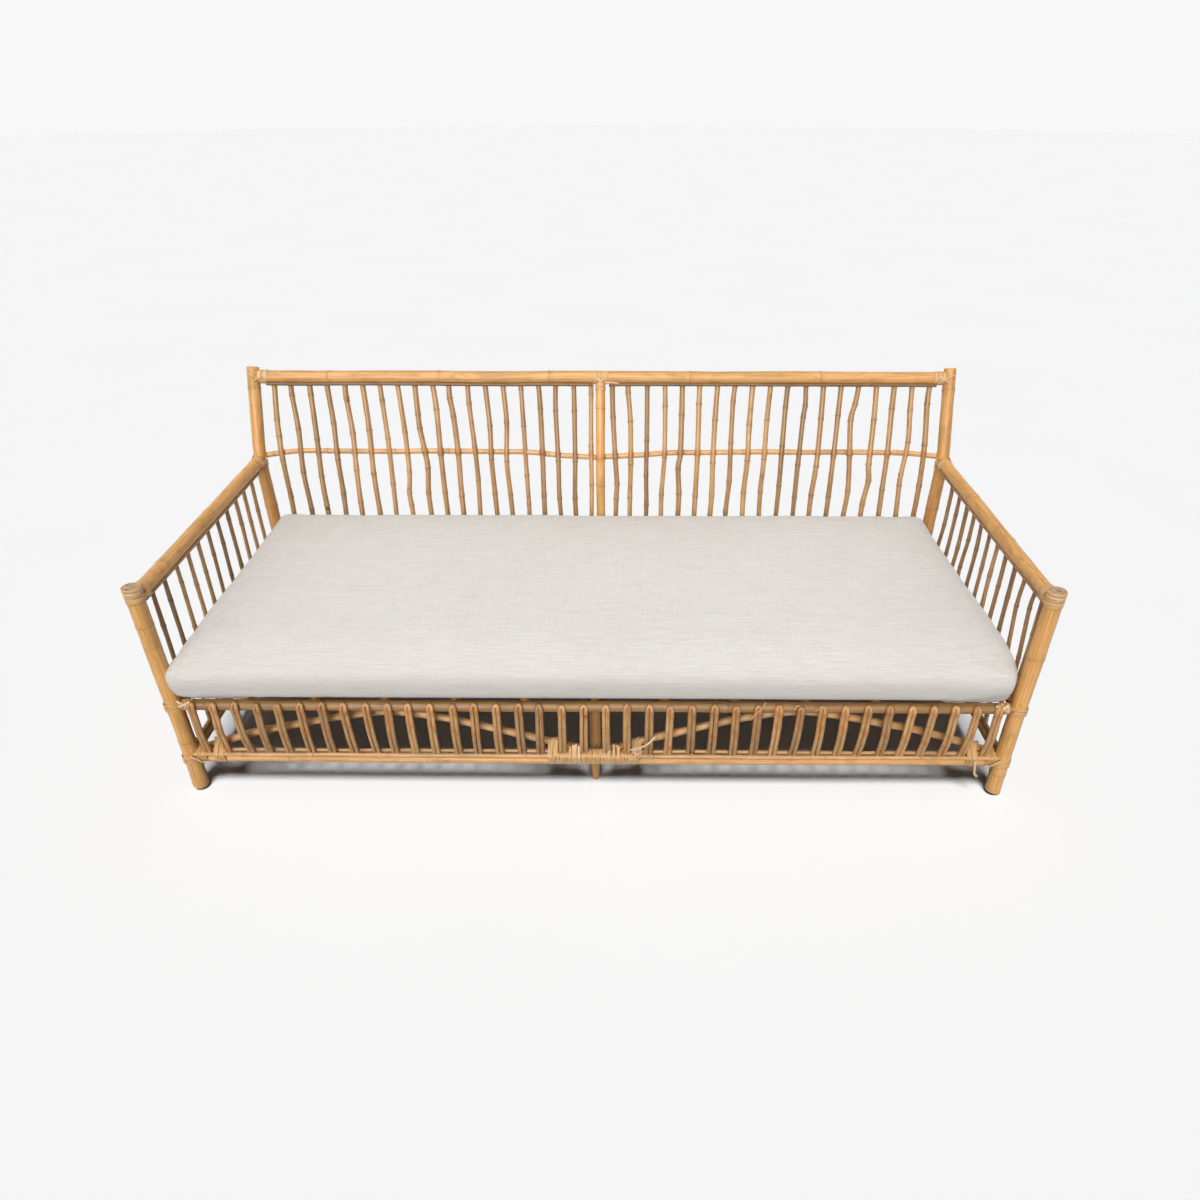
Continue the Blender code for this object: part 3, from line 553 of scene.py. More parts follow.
# ---- the back's leaning plane
def back_point(x, height):
    """A point on the back's plane, by its length up the plane from the floor."""
    reach = BEND_RADIUS * math.tan(LEAN / 2)
    start = BEND_Z - reach
    if height <= start:
        return Vector((x, BACK_Y, height))
    arc = BEND_RADIUS * LEAN
    if height <= start + arc:
        turn = (height - start) / BEND_RADIUS
        return Vector((x, BACK_Y + BEND_RADIUS * (1 - math.cos(turn)), start + BEND_RADIUS * math.sin(turn)))
    return Vector((x, BACK_Y, BEND_Z)) + LEAN_UP * (reach + height - start - arc)


TOP_RAIL_HEIGHT = BEND_Z + (TOP_Z - BEND_Z) / math.cos(LEAN)


# ---- posts and legs
def make_posts():
    bows = {"left": 0.0035, "right": -0.0015}
    for side, tag in SIDES:
        x = side * POST_X
        bow = bows[tag]
        path = [(x, FRONT_Y, 0.0002), (x + 0.6 * bow, FRONT_Y, 0.07), (x + bow, FRONT_Y, 0.2),
                (x + 0.3 * bow, FRONT_Y, 0.38), (x, FRONT_Y, FRONT_TOP)]
        nodes = (0.062, 0.398) if tag == "right" else (0.15, 0.47)
        foot = "cut" if tag == "right" else "round"
        pole("front_post_" + tag, path, FRONT_R, nodes, 0.7 if tag == "right" else 0.66, 0.012,
             ends=(foot, "cut"), slant=0.22 if tag == "right" else 0.0, lumps=0.018, swell=0.045)
        top = BEND_Z + (BACK_TOP - BEND_Z) / math.cos(LEAN)
        path = [back_point(x, h) for h in np.linspace(0.0, top - 0.004, 15)]
        pole("back_post_" + tag, path, BACK_R, (0.17, 0.4, 0.735), 0.46, 0.012, taper=(1.03, 0.95),
             lumps=0.02, blush=(0.6, 0.12) if tag == "right" else (0.6, 0.0))
    path = [back_point(0.0, h) for h in np.linspace(SEAT_Z, TOP_RAIL_HEIGHT, 11)]
    pole("centre_back_post", path, CENTRE_R, (0.09, 0.215, 0.43), 0.72, stains=(0.296,), lumps=0.02)
    for name, y in (("centre_front_leg", FRONT_Y + 0.044), ("centre_back_leg", BACK_Y - 0.044)):
        bag = Bag()
        heights = 0.0, 0.012, 0.05, 0.075, 0.12, 0.238
        radii = 0.009, 0.0102, 0.0128, 0.0148, 0.015, 0.015
        tapered_rod(bag, [Vector((0.0, y, z)) for z in heights], radii, 16)
        bag.build_pole(name)


def tapered_rod(bag, points, radii, sides):
    """A turned leg: given radii at given points, with a flat foot."""
    dense = smooth_line(points, 6)
    r = np.interp(np.linspace(0, len(points) - 1, len(dense)), range(len(points)), radii)
    u, v = frames_along(dense)
    angle = np.arange(sides) * 2 * math.pi / sides
    rows = around(dense, r[:, None], angle, u, v)
    coord = skin_coord(np.cos(angle) * r[:, None], np.sin(angle) * r[:, None], dense[:, 2] - dense[0, 2])
    # The tone -0.45 is painted shade: it darkens the centre legs, which stand in the shade under the seat.
    bag.tube(rows, coord, NO_NODE, -0.45, 0.0)
    bag.caps(rows, coord, 0.3)


# ---- rails
def wavy(start, end, count, sway_y, sway_z, sag=0.0):
    """Points from start to end with a slow seeded sway, exact at both ends."""
    start, end = Vector(start), Vector(end)
    points = []
    for k in range(count + 1):
        t = k / count
        point = start.lerp(end, t)
        if 0 < k < count:
            point.y += vary(sway_y)
            point.z += vary(sway_z) - sag * math.sin(math.pi * t)
        points.append(point)
    return points


def make_rails():
    inset = 0.01
    across = POST_X - inset
    for name, y, z, radius, tone, sag in (
        # the front seat rail's tone of -0.76 is painted shade: it darkens the rail as if in the mattress's
        # shadow
        ("front_seat_rail", FRONT_Y, SEAT_RAIL_Z, SEAT_R, -0.76, 0.0),
        ("front_bottom_rail", FRONT_Y, LOW_RAIL_Z, LOW_R, 0.8, 0.002),
        ("back_seat_rail", BACK_Y, SEAT_Z, SEAT_R, 0.45, 0.0),
        ("back_bottom_rail", BACK_Y, LOW_Z, LOW_R, 0.5, 0.002),
        ("back_top_rail", TOP_Y, TOP_Z, TOP_R, 0.42, 0.0),
    ):
        path = wavy((-across, y, z), (across, y, z), 9, 0.0006, 0.0009, sag)
        pole(name, path, radius, node_places(2 * across, 0.34), tone, 0.014)
    for side, tag in SIDES:
        x = side * POST_X
        for name, z, radius, tone in (
            ("arm_rail_", ARM_Z + 0.001, ARM_R - 0.0007, 0.62),
            ("side_seat_rail_", SEAT_Z, SIDE_SEAT_R, 0.4),
            ("side_bottom_rail_", LOW_Z, LOW_R, 0.45),
        ):
            path = wavy((x, FRONT_Y + inset, z), (x, BACK_Y - inset, z), 5, 0.0, 0.001)
            pole(name + tag, path, radius, node_places(0.78, 0.34), tone, 0.014, taper=(0.97, 1.0))
    for number in range(1, 12):
        node = f"seat_pole_{number:02d}"
        x = (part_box(node)[0].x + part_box(node)[1].x) / 2
        path = wavy((x, FRONT_Y + 0.006, SEAT_Z), (x, BACK_Y - 0.006, SEAT_Z), 4, 0.0, 0.0006)
        pole(node, path, SEAT_POLE_R, node_places(0.79, 0.24), random.uniform(0.2, 0.7), 0.02, 14)


# ---- crooked canes
def crooked(bag, at, length, radius, bend, depth, step, kinks, tone, stains=(), drift=0.0):
    """A cane that changes direction at its nodes; at(s, sideways, away) places it.

    step is about how far apart its nodes are, and kinks are (share of the length, sideways step).
    """
    nodes = node_places(length, step * 1.35)
    stops = [0.0] + [p for p in nodes if 0.02 < p < length - 0.02] + [length]
    points = []
    for index, place in enumerate(stops):
        inner = 0 < index < len(stops) - 1
        sway = vary(bend) * (1.0 if inner else 0.35)
        away = vary(depth) if inner else 0.0
        sway += drift * place / length
        for kink_place, kink in kinks:
            sway += kink * math.exp(-((place - kink_place * length) / 0.05) ** 2)
        points.append((place, at(place, sway, away)))
    for kink_place, kink in kinks:
        place = kink_place * length
        if min(abs(place - stop) for stop in stops) > 0.02:
            points.append((place, at(place, kink + drift * kink_place, 0.0)))
            nodes.append(place)
    points.sort(key=lambda pair: pair[0])
    rod(bag, [p for _, p in points], radius * random.uniform(0.93, 1.06), 10, 0.009, sorted(nodes), tone,
        swell=0.13, lumps=0.035, stains=stains)


def make_back():
    """Nineteen canes each side of the centre post, a thin rod behind them and one under the rail.

    kinks holds (share of the length, sideways step) by side and cane, counted from the left.
    A cane's line is its x at the seat, at the thin rod and at the top rail.
    """
    low = DECK_Z + 0.001
    high = TOP_RAIL_HEIGHT - TOP_R - 0.001
    rod_height = 0.5615
    kinks = {
        "left": {1: ((0.7, -0.006),), 2: ((0.93, -0.004),), 9: ((0.52, 0.007), (0.75, -0.004)),
                 8: ((0.36, -0.006),), 11: ((0.92, -0.006),), 14: ((0.55, -0.004),), 15: ((0.3, 0.004),)},
        "right": {1: ((0.42, 0.007),), 2: ((0.95, -0.004),), 5: ((0.52, -0.004),), 12: ((0.88, 0.004),),
                  15: ((0.8, -0.013), (0.62, -0.008)), 16: ((0.45, 0.006),), 18: ((0.42, -0.006),)},
    }
    for side, tag in SIDES:
        bag = Bag()
        for number in range(1, 20):
            bow = 0.006 - 0.014 * ((number - 10) / 9) ** 2
            if side < 0:
                line = 0.0352 - 0.0499 * number, 0.0275 - 0.049 * number, 0.0236 - 0.0498 * number
            else:
                line = 0.0496 * number - 0.0182, 0.0491 * number - 0.0157, 0.0497 * number - 0.0177
            line = line[0] - side * bow, line[1] - side * bow, line[2]

            def at(s, sway, away, line=line):
                x = float(np.interp(low + s, (low, rod_height + 0.01, high), line))
                point = back_point(x + sway, low + s)
                point.y -= away + 0.001
                return point

            which = number if side > 0 else 20 - number
            crooked(bag, at, high - low, 0.0072, 0.003, 0.0012, 0.085, kinks[tag].get(which, ()),
                    random.uniform(-0.35, 0.65), (rod_height - low, high - low))
        inner, outer = 0.013, POST_X - BACK_R + 0.004
        path = []
        for k in range(11):
            t = k / 10
            x = inner + (outer - inner) * t
            drop = 0.015 * math.exp(-(t / 0.16) ** 2) + 0.011 * math.exp(-((1 - t) / 0.07) ** 2)
            point = back_point(side * x, rod_height - drop + vary(0.0012))
            point.y += 0.0095
            path.append(point)
        rod(bag, path, 0.0074, 12, 0.008, node_places(0.95, 0.16), 0.95, lumps=0.03)
        under = TOP_RAIL_HEIGHT - 0.0207
        forward = Vector((0.0, -0.0072, 0.0028))
        places = np.linspace(0.024, POST_X - BACK_R - 0.02, 9)
        path = [back_point(side * x, under + vary(0.0008)) + forward for x in places]
        # Its tone of -1.0 is painted shadow: the rod is darkened to the dark line that the top rail's shadow
        # makes over the canes' tops.
        rod(bag, path, 0.0045, 8, 0.012, node_places(0.9, 0.2), -1.0, lumps=0.03)
        bag.build_canes("back_canes_" + tag)


def make_side_canes():
    for side, tag in SIDES:
        x = side * POST_X
        # The arm canes' low tones are painted shade: they darken the arm canes as if in shade, the left ones
        # most.
        if side > 0:
            wild, tones = 0.006, (-0.7, 0.25)
            first_foot, foot_pitch, first_head, head_pitch = 0.001, 0.0625, 0.026, 0.0592
        else:
            wild, tones = 0.0024, (-1.0, 0.1)
            first_foot, foot_pitch, first_head, head_pitch = -0.004, 0.0644, 0.005, 0.0636
        for name, low, high, radius, bend, tone in (
            ("arm_canes_", SEAT_Z + SIDE_SEAT_R, ARM_Z - ARM_R, 0.0052, wild, tones),
            ("side_apron_canes_", LOW_Z + LOW_R, SEAT_Z - SIDE_SEAT_R, 0.005, 0.0015, (-0.3, 0.4)),
        ):
            bag = Bag()
            for number in range(1, 12):
                foot = FRONT_Y + first_foot + foot_pitch * number + vary(0.003)
                head = FRONT_Y + first_head + head_pitch * number + vary(0.003)
                length = high - low - 0.001

                def at(s, sway, away, foot=foot, head=head, low=low, length=length):
                    y = foot + (head - foot) * min(s / (0.7 * length), 1.0)
                    return Vector((x + away, y + sway, low + 0.0005 + s))

                crooked(bag, at, length, radius, bend, 0.001, 0.08, (), random.uniform(*tone),
                        (0.004, length - 0.004), drift=vary(bend) / 2)
            if name == "arm_canes_" and side > 0:
                path = [(x - 0.012, FRONT_Y + 0.0225, low + 0.012), (x - 0.011, FRONT_Y + 0.0225, 0.36),
                        (x - 0.007, FRONT_Y + 0.029, 0.42), (x - 0.002, FRONT_Y + 0.041, 0.48),
                        (x, FRONT_Y + 0.046, high - 0.001)]
                rod(bag, path, 0.0048, 10, 0.01, (0.06, 0.16), 0.2, swell=0.12, lumps=0.03)
            for z in (low + END_ROD, high - END_ROD):
                path = wavy((x, FRONT_Y + 0.033, z), (x, BACK_Y - 0.041, z), 6, 0.0, 0.0005)
                rod(bag, path, 0.0056, 10, 0.012, node_places(0.72, 0.2), 0.35, lumps=0.03)
            bag.build_canes(name + tag)


def make_back_apron():
    bag = Bag()
    low, high = LOW_Z + LOW_R, SEAT_Z - SEAT_R
    count = 29
    pitch = 2 * POST_X / (count + 1)
    for number in range(1, count + 1):
        x = -POST_X + pitch * number + vary(0.003)

        def at(s, sway, away, x=x):
            return Vector((x + sway, BACK_Y + away, low + 0.0005 + s))

        crooked(bag, at, high - low - 0.001, 0.005, 0.0015, 0.001, 0.075, (), random.uniform(0.1, 0.7))
    for z in (low + END_ROD, high - END_ROD):
        end = POST_X - pitch / 2
        rod(bag, wavy((-end, BACK_Y, z), (end, BACK_Y, z), 9, 0.0, 0.0005), 0.0056, 10, 0.014,
            node_places(1.9, 0.2), 0.4, lumps=0.03)
    bag.build_canes("back_apron_canes")


# ---- front apron
APRON_LEAN = math.radians(5.5)
SLAT_STAND_OFF = SEAT_R + 0.0003 + 0.00425
SLATS = 38            # doubled canes across the front
PITCH = 2 * POST_X / (SLATS + 1)
LOOSE_STRANDS = (     # frayed bits in front of the canes: places along x and z
    ((0.391, 0.286), (0.381, 0.266), (0.367, 0.248), (0.36, 0.235)),
    ((0.0765, 0.283), (0.078, 0.258), (0.0755, 0.22), (0.0735, 0.182)),
    ((0.458, 0.266), (0.463, 0.277), (0.4685, 0.276)),
    ((0.506, 0.262), (0.514, 0.27), (0.519, 0.278)),
)
ARCH_RISE = (0.108, 0.143, 0.17, 0.196, 0.22, 0.2275, 0.214, 0.195, 0.174, 0.146, 0.112)


def apron_point(x, z, out=0.0):
    """On the plane of the doubled canes, at a height, out towards the front."""
    near_y = FRONT_Y - SLAT_STAND_OFF * math.cos(APRON_LEAN)
    near_z = SEAT_Z - SLAT_STAND_OFF * math.sin(APRON_LEAN)
    y = near_y + (near_z - z) * math.tan(APRON_LEAN)
    return Vector((x, y - out, z))


def curl_point(x, turn, out=0.0):
    """Round the front of the seat rail, by the angle above level."""
    reach = SLAT_STAND_OFF + out
    return Vector((x, FRONT_Y - reach * math.cos(turn), SEAT_Z + reach * math.sin(turn)))


def arch_height(x):
    share = (abs(x) - ARCH_START) / ARCH_SPAN
    return float(np.interp(share, np.linspace(0.0, 1.0, len(ARCH_RISE)), ARCH_RISE))


def make_front_apron():
    bag = Bag()
    levels = (0.108, 0.128, 0.158, 0.188, 0.214, 0.236)
    for number in range(1, SLATS + 1):
        x = -POST_X + PITCH * number + vary(0.0022)
        half = 0.0046 + random.uniform(-0.0003, 0.0006)
        slip = vary(0.004)
        twist = vary(0.001)
        bulge = random.uniform(0.003, 0.0065)
        curl = math.radians(random.uniform(20, 32))
        legs = []
        for side in (-1, 1):
            leg = []
            for z in levels:
                fall = (levels[-1] - z) / (levels[-1] - levels[0])
                arc = math.sin(math.pi * min(1.15 * fall, 1.0))
                out = bulge * arc - side * twist + random.uniform(0, 0.0006)
                leg.append(apron_point(x + side * (half + 0.0005 * fall) + slip * fall, z, out))
            for turn in (0.0, 0.5 * curl, curl):
                leg.append(curl_point(x + side * half, turn))
            legs.append(leg)
        loop = []
        for k in range(1, 6):
            angle = math.pi * (1 - k / 6)
            turn = curl + half * 1.2 * math.sin(angle) / SLAT_STAND_OFF
            loop.append(curl_point(x + half * math.cos(angle), turn, 0.0004))
        points = legs[0] + loop + legs[1][::-1]
        total = 2 * 0.16 + math.pi * half
        rise = arch_height(x) - levels[0]
        stains = rise, total - rise, 0.15, total - 0.15
        rod(bag, points, 0.0049 * random.uniform(0.95, 1.06), 10, 0.006, node_places(total, 0.12),
            random.uniform(-0.2, 0.9), swell=0.06, lumps=0.02, stains=stains)
    for strand in LOOSE_STRANDS:
        rod(bag, [(x, FRONT_Y - 0.0245, z) for x, z in strand], STRAND, 6, 0.006, (), 1.2)
    reach = POST_X - FRONT_R + 0.004
    for (depth, z), radius, sides, spacing, tone in (
        (NEAR_ROD, 0.0054, 12, 0.01, 0.82),
        (FAR_ROD, 0.0048, 10, 0.012, 0.55),
    ):
        path = wavy((-reach, FRONT_Y + depth, z), (reach, FRONT_Y + depth, z), 11, 0.0006, 0.001)
        rod(bag, path, radius, sides, spacing, node_places(1.9, 0.19), tone, lumps=0.02)
    bag.build("rattan_front_apron", "front_apron_canes", "rattan_cane", CANE, SAWN)


def make_arches():
    for side, tag in SIDES:
        points = []
        for k in range(15):
            t = k / 14
            x = ARCH_START + ARCH_SPAN * t
            lift = 0.003 * math.sin(math.pi * t) * side
            points.append((side * x, FRONT_Y + ARCH_DEPTH, arch_height(x) + lift + vary(0.001)))
        nodes = node_places(0.95, 0.17)
        stains = [PITCH * k - 0.03 for k in range(2, 19, 2)]
        bag = Bag()
        rod(bag, points, 0.0092, 14, 0.01, nodes, 1.0, swell=0.07, lumps=0.02, stains=stains)
        bag.build_canes("arch_brace_" + tag)


# ---- bindings
# The bottom rail and the two thin rods, as circles in depth and height.
BUNDLE = [((0.0, LOW_RAIL_Z), LOW_R), (NEAR_ROD, 0.0056), (FAR_ROD, 0.005)]


def bundle_at(x):
    """The bundle and the arch, for a winding at x."""
    return BUNDLE + [((ARCH_DEPTH, arch_height(x)), 0.0095)]


def wind_bundle(bag, x, turns, width, tone, tilt=0.0, lift=0.0):
    """Turns round the bottom rail, the thin rods and the arch, centred on x."""
    pitch = width * 0.98
    first = -pitch * turns / 2
    wind(bag, (x, FRONT_Y, 0.0), X_AXIS, bundle_at(x), first, turns, width, pitch, tone, tilt, lift=lift)


def hoop_post(bag, x, *heights):
    """Turns round a front post that hold a rail to it."""
    for z in heights:
        hoop(bag, (x, FRONT_Y, z), Z_AXIS, FRONT_R, 0.0058, (0.4, 0.75), pitch=0.0003, turns=1.02)


def lay_sides(bag, x, y, rises, stations, tones):
    """Slanting strands on both sides of a post and its arm rail.

    A station is (step out, step along, share of the rise).
    """
    for side in (-1, 1):
        for rise in rises:
            steps = [(out, along, rise * share) for out, along, share in stations]
            lay_strip(bag, side, (side * x, y, ARM_Z), steps, (side, 0, 0), 0.0058, random.uniform(*tones))


def make_post_bindings():
    for side, tag in SIDES:
        x = side * POST_X
        bag = Bag()
        for number, z in enumerate(FRONT_TOP - drop for drop in (0.0042, 0.0114, 0.0184, 0.0254, 0.0322)):
            wind(bag, (x, FRONT_Y, z), Z_AXIS, [((0.0, 0.0), FRONT_R)], 0.0, 1.04, 0.0071, 0.0008,
                 (0.55, 0.95, 0.35, 0.8, 0.45)[number], vary(0.0012), 1.6 + 0.2 * number)
        for number in range(4):
            hoop(bag, (x, FRONT_Y + FRONT_R + 0.003 + 0.0062 * number, ARM_Z), Y_AXIS, ARM_R, 0.0064,
                 (0.45, 0.85), 0.0015)
        stations = (0.0188, -0.004, 1.0), (0.0205, 0.01, 0.3), (0.0188, 0.03, -1.0)
        lay_sides(bag, x, FRONT_Y, (0.008, -0.004), stations, (0.4, 0.8))
        bag.build_binding("post_top", tag)

        bag = Bag()
        for number in range(3):
            hoop(bag, (x, BACK_Y - BACK_R - 0.004 - 0.0062 * number, ARM_Z), Y_AXIS, ARM_R, 0.0064,
                 (0.35, 0.75), pitch=0.0003)
        stations = (0.0185, 0.004, 1.0), (0.02, -0.012, 0.4), (0.018, -0.034, -0.5)
        lay_sides(bag, x, BACK_Y, (0.012, -0.003, -0.012), stations, (0.35, 0.75))
        bag.build_binding("arm_end", tag)


def make_rail_bindings():
    for side, tag in SIDES:
        bag = Bag()
        inner = POST_X - BACK_R * 0.96
        for number in range(4):
            x = side * (inner - 0.004 - 0.0066 * number)
            hoop(bag, (x, TOP_Y, TOP_Z), X_AXIS, TOP_R, 0.0064, (0.45, 0.95), 0.002)
        for rise in (0.013, -0.01):
            steps = (0.006, -0.0172, rise), (-0.014, -0.02, rise * 0.2), (-0.034, -0.015, -rise * 0.9)
            normals = [(0, -1, 0.2), (0, -1, 0.1), (0, -0.9, -0.5 * rise / abs(rise))]
            lay_strip(bag, side, (POST_X, TOP_Y, TOP_Z), steps, normals, 0.0056, random.uniform(0.5, 0.9))
        bag.build_binding("top_rail", tag)

        bag = Bag()
        inner = POST_X - FRONT_R
        for number in range(4):
            x = side * (inner - 0.009 - 0.0062 * number)
            hoop(bag, (x, FRONT_Y, SEAT_RAIL_Z), X_AXIS, SEAT_R, 0.0062, (0.45, 0.85), 0.002)
        hoop_post(bag, side * POST_X, SEAT_Z + 0.006, SEAT_Z - 0.001, SEAT_Z - 0.008)
        crossing = POST_X - (0.034 if side < 0 else 0.046), FRONT_Y, SEAT_Z + 0.01
        for rise in (0.008, -0.008):
            steps = (0.015, -0.0125, rise + 0.001), (0.0, -0.0145, 0.0), (-0.015, -0.0125, -rise)
            tone = random.uniform(0.75, 1.0)
            lay_strip(bag, side, crossing, steps, (0, -0.85, 0.5), 0.0058, tone, 0.0016)
        bag.build_binding("seat_rail", tag)
    bag = Bag()
    for number in range(6):
        x = (number - 2.5) * 0.0066
        hoop(bag, (x, TOP_Y, TOP_Z), X_AXIS, TOP_R, 0.0066, (0.55, 0.95), 0.002)
    low = TOP_RAIL_HEIGHT - TOP_R
    for number in range(3):
        centre = back_point(0.0, low - 0.004 - 0.006 * number)
        hoop(bag, centre, LEAN_UP, CENTRE_R, 0.006, (0.5, 0.9), pitch=0.0003)
    middle = 0.0, TOP_Y, TOP_Z
    normals = [(0, -0.8, 0.6), OUTWARD, OUTWARD]
    for side in (-1, 1):
        steps = (0.02, -0.0135, 0.01), (0.002, -0.018, -0.004), (-0.01, -0.0155, -0.022)
        lay_strip(bag, side, middle, steps, normals, 0.0056, random.uniform(0.6, 0.95))
    tail = (0.012, -0.0175, -0.01), (0.03, -0.0205, -0.008), (0.052, -0.019, -0.0115)
    lay_strip(bag, 1, middle, tail, (0, -1, 0.2), 0.0048, 0.85)
    bag.build_binding("top_rail", "centre")


def make_bundle_bindings():
    for side, tag in SIDES:
        bag = Bag()
        wind_bundle(bag, side * (POST_X - FRONT_R - 0.014), 3.9, 0.0062, tone=0.36)
        hoop_post(bag, side * POST_X, LOW_Z + 0.009, LOW_Z + 0.002, LOW_Z - 0.005)
        steps = (-0.01, -0.0195, 0.018), (-0.024, -0.019, 0.008), (-0.036, -0.013, -0.008)
        normals = [OUTWARD, OUTWARD, (0, -0.9, -0.4)]
        lay_strip(bag, side, (POST_X, FRONT_Y, LOW_Z), steps, normals, 0.0056, 0.8, 0.0015)
        bag.build_binding("corner", "outer_" + tag)

        bag = Bag()
        place = POST_X - 1.5 * PITCH
        wind_bundle(bag, side * place, 4.3, 0.0062, tone=0.42, tilt=0.0035 * side)
        wind_bundle(bag, side * (place - 0.002), 1.3, 0.0058, tone=0.6, tilt=-0.006 * side, lift=STRAND)
        if side > 0:
            tail = ((0.004, -0.0175, 0.012), (0.008, -0.016, -0.008), (0.011, -0.015, -0.024),
                    (0.02, -0.014, -0.036))
            lay_strip(bag, 1, (place, FRONT_Y, LOW_Z), tail, OUTWARD, 0.0062, 0.9)
        bag.build_binding("corner", "inner_" + tag)

        bag = Bag()
        x = side * 0.1005
        wind_bundle(bag, x, 3.4, 0.0062, tone=0.62 if side < 0 else 0.42, tilt=0.002)
        wind_bundle(bag, x + 0.002, 1.2, 0.0056, tone=0.8, tilt=0.007, lift=STRAND)
        if side > 0:
            knot = 0.094, FRONT_Y - 0.0175, 0.118
            for tone, steps in (
                (0.9, ((-0.012, 0.0, -0.01), (0.0, 0.0, 0.0), (0.012, 0.001, 0.012))),
                (0.7, ((-0.01, -0.0014, 0.011), (0.0, -0.002, 0.0), (0.012, -0.001, -0.013))),
            ):
                lay_strip(bag, 1, knot, steps, OUTWARD, 0.0058, tone, 0.0016)
            loose = (0.083, -0.019, 0.14), (0.102, -0.03, 0.154), (0.124, -0.034, 0.17), (0.142, -0.03, 0.19)
            lay_strip(bag, 1, (0.0, FRONT_Y, 0.0), loose, (0.1, -1, 0.3), 0.0052, 1.0, 0.0012)
        bag.build_binding("centre", "outer_" + tag)

        bag = Bag()
        for number in range(4):
            x = side * (0.037 + 0.0075 * number)
            peak = 0.139 + 0.004 * math.sin(number * 1.4)
            circles = bundle_at(x) + [((-0.004, peak - 0.004), 0.004)]
            hoop(bag, (x, FRONT_Y, 0.0), X_AXIS, circles, 0.0066, (0.5, 0.9), 0.004, 0.0003, lift=STRAND)
        for number in range(14):
            x = side * (0.0034 + 0.0065 * number)
            hoop(bag, (x, FRONT_Y, 0.0), X_AXIS, BUNDLE, 0.0064, (0.4, 0.85), 0.001, 0.0003)
        bag.build_binding("centre", "inner_" + tag)


# ---- mattress
MATTRESS_END = 0.951  # half its length


def start_slab():
    """The slab that swells into the mattress, a little smaller all round than it ends."""
    lo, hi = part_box("mattress")
    middle = (lo + hi) / 2
    size = (hi - lo) - Vector((0.006, 0.008, 0.018))
    shape = bmesh.new()
    bmesh.ops.create_cube(shape, size=1.0)
    bmesh.ops.scale(shape, vec=size, verts=shape.verts)
    upright = [e for e in shape.edges if abs(e.verts[0].co.z - e.verts[1].co.z) > size.z / 2]
    bmesh.ops.bevel(shape, geom=upright, offset=0.024, segments=5, profile=0.5, affect="EDGES")
    for level, offset in ((1, 0.024), (-1, 0.01)):
        rim = [e for e in shape.edges if all(abs(v.co.z - level * size.z / 2) < 0.0001 for v in e.verts)
               and sum(abs(f.normal.z) > 0.5 for f in e.link_faces) == 1]
        bmesh.ops.bevel(shape, geom=rim, offset=offset, segments=6, profile=0.5, affect="EDGES")
    bmesh.ops.translate(shape, vec=middle, verts=shape.verts)
    return show_shape("linen_mattress", shape)


def apply_all(obj):
    bpy.context.view_layer.update()
    made = bpy.data.meshes.new_from_object(obj.evaluated_get(bpy.context.evaluated_depsgraph_get()))
    obj.modifiers.clear()
    obj.data = made


def positions(mesh):
    co = np.zeros(len(mesh.vertices) * 3, np.float32)
    mesh.vertices.foreach_get("co", co)
    return co.reshape(-1, 3).astype(float)


def puff(obj):
    """Swell the slab with a short cloth simulation, and keep each point near where it began."""
    rest = positions(obj.data)
    cloth = obj.modifiers.new("puff", "CLOTH")
    settings = cloth.settings
    settings.quality = 4
    settings.mass = 0.3
    settings.tension_stiffness = 18
    settings.compression_stiffness = 18
    settings.shear_stiffness = 8
    settings.bending_stiffness = 1.5
    settings.use_pressure = True
    settings.uniform_pressure_force = 4.0
    settings.effector_weights.gravity = 0.0
    cloth.collision_settings.use_collision = False
    cloth.collision_settings.use_self_collision = False
    cloth.point_cache.frame_start = 1
    cloth.point_cache.frame_end = 20
    for number in range(1, 21):
        bpy.context.scene.frame_set(number)
    done = bpy.data.meshes.new_from_object(obj.evaluated_get(bpy.context.evaluated_depsgraph_get()))
    moved = positions(done) - rest
    moved[:, :2] *= 0.3
    far = np.linalg.norm(moved, axis=1)[:, None] + 1e-9
    cap = 0.014       # no point moves further than this
    kept = rest + moved / far * cap * np.tanh(far / (2.5 * cap))
    obj.modifiers.clear()
    obj.data.vertices.foreach_set("co", kept.astype(np.float32).ravel())
    bpy.context.scene.frame_set(1)


def ease(value, low, high):
    """0 at low, 1 at high, smooth between."""
    t = np.clip((value - low) / (high - low), 0.0, 1.0)
    return t * t * (3 - 2 * t)


def roll_front(x, y, z, up, lo):
    """Slope the top down to the front, push the front's middle out, and draw its corners in."""
    z = z - 0.013 * ease(lo.y - y, -0.15, 0.0) ** 1.5 * ease(up, 0.3, 1.0)
    edge = ease(lo.y - y, -0.065, 0.0)
    belly = edge * np.sin(math.pi * up ** 1.25)
    y = y + edge * (0.003 * ease(up, 0.6, 1.0) - 0.006 * (1 - up)) - 0.01 * belly
    x = x - 0.011 * belly * ease(-x, 0.9, 0.95) - 0.011 * edge * ease(x, 0.88, 0.96)
    return x, y, z


def lift_front(x, y, up, lo):
    """How far the lower front edge stands off the rail: a little, more at the corners, most at the right."""
    corner = 0.0055 + np.where(x > 0, 0.019 * ease(x, 0.84, 0.95), 0.003 * ease(-x, 0.92, 0.962))
    return ease(lo.y - y, -0.024, 0.004) * corner * (1 - ease(up, 0.0, 0.65))


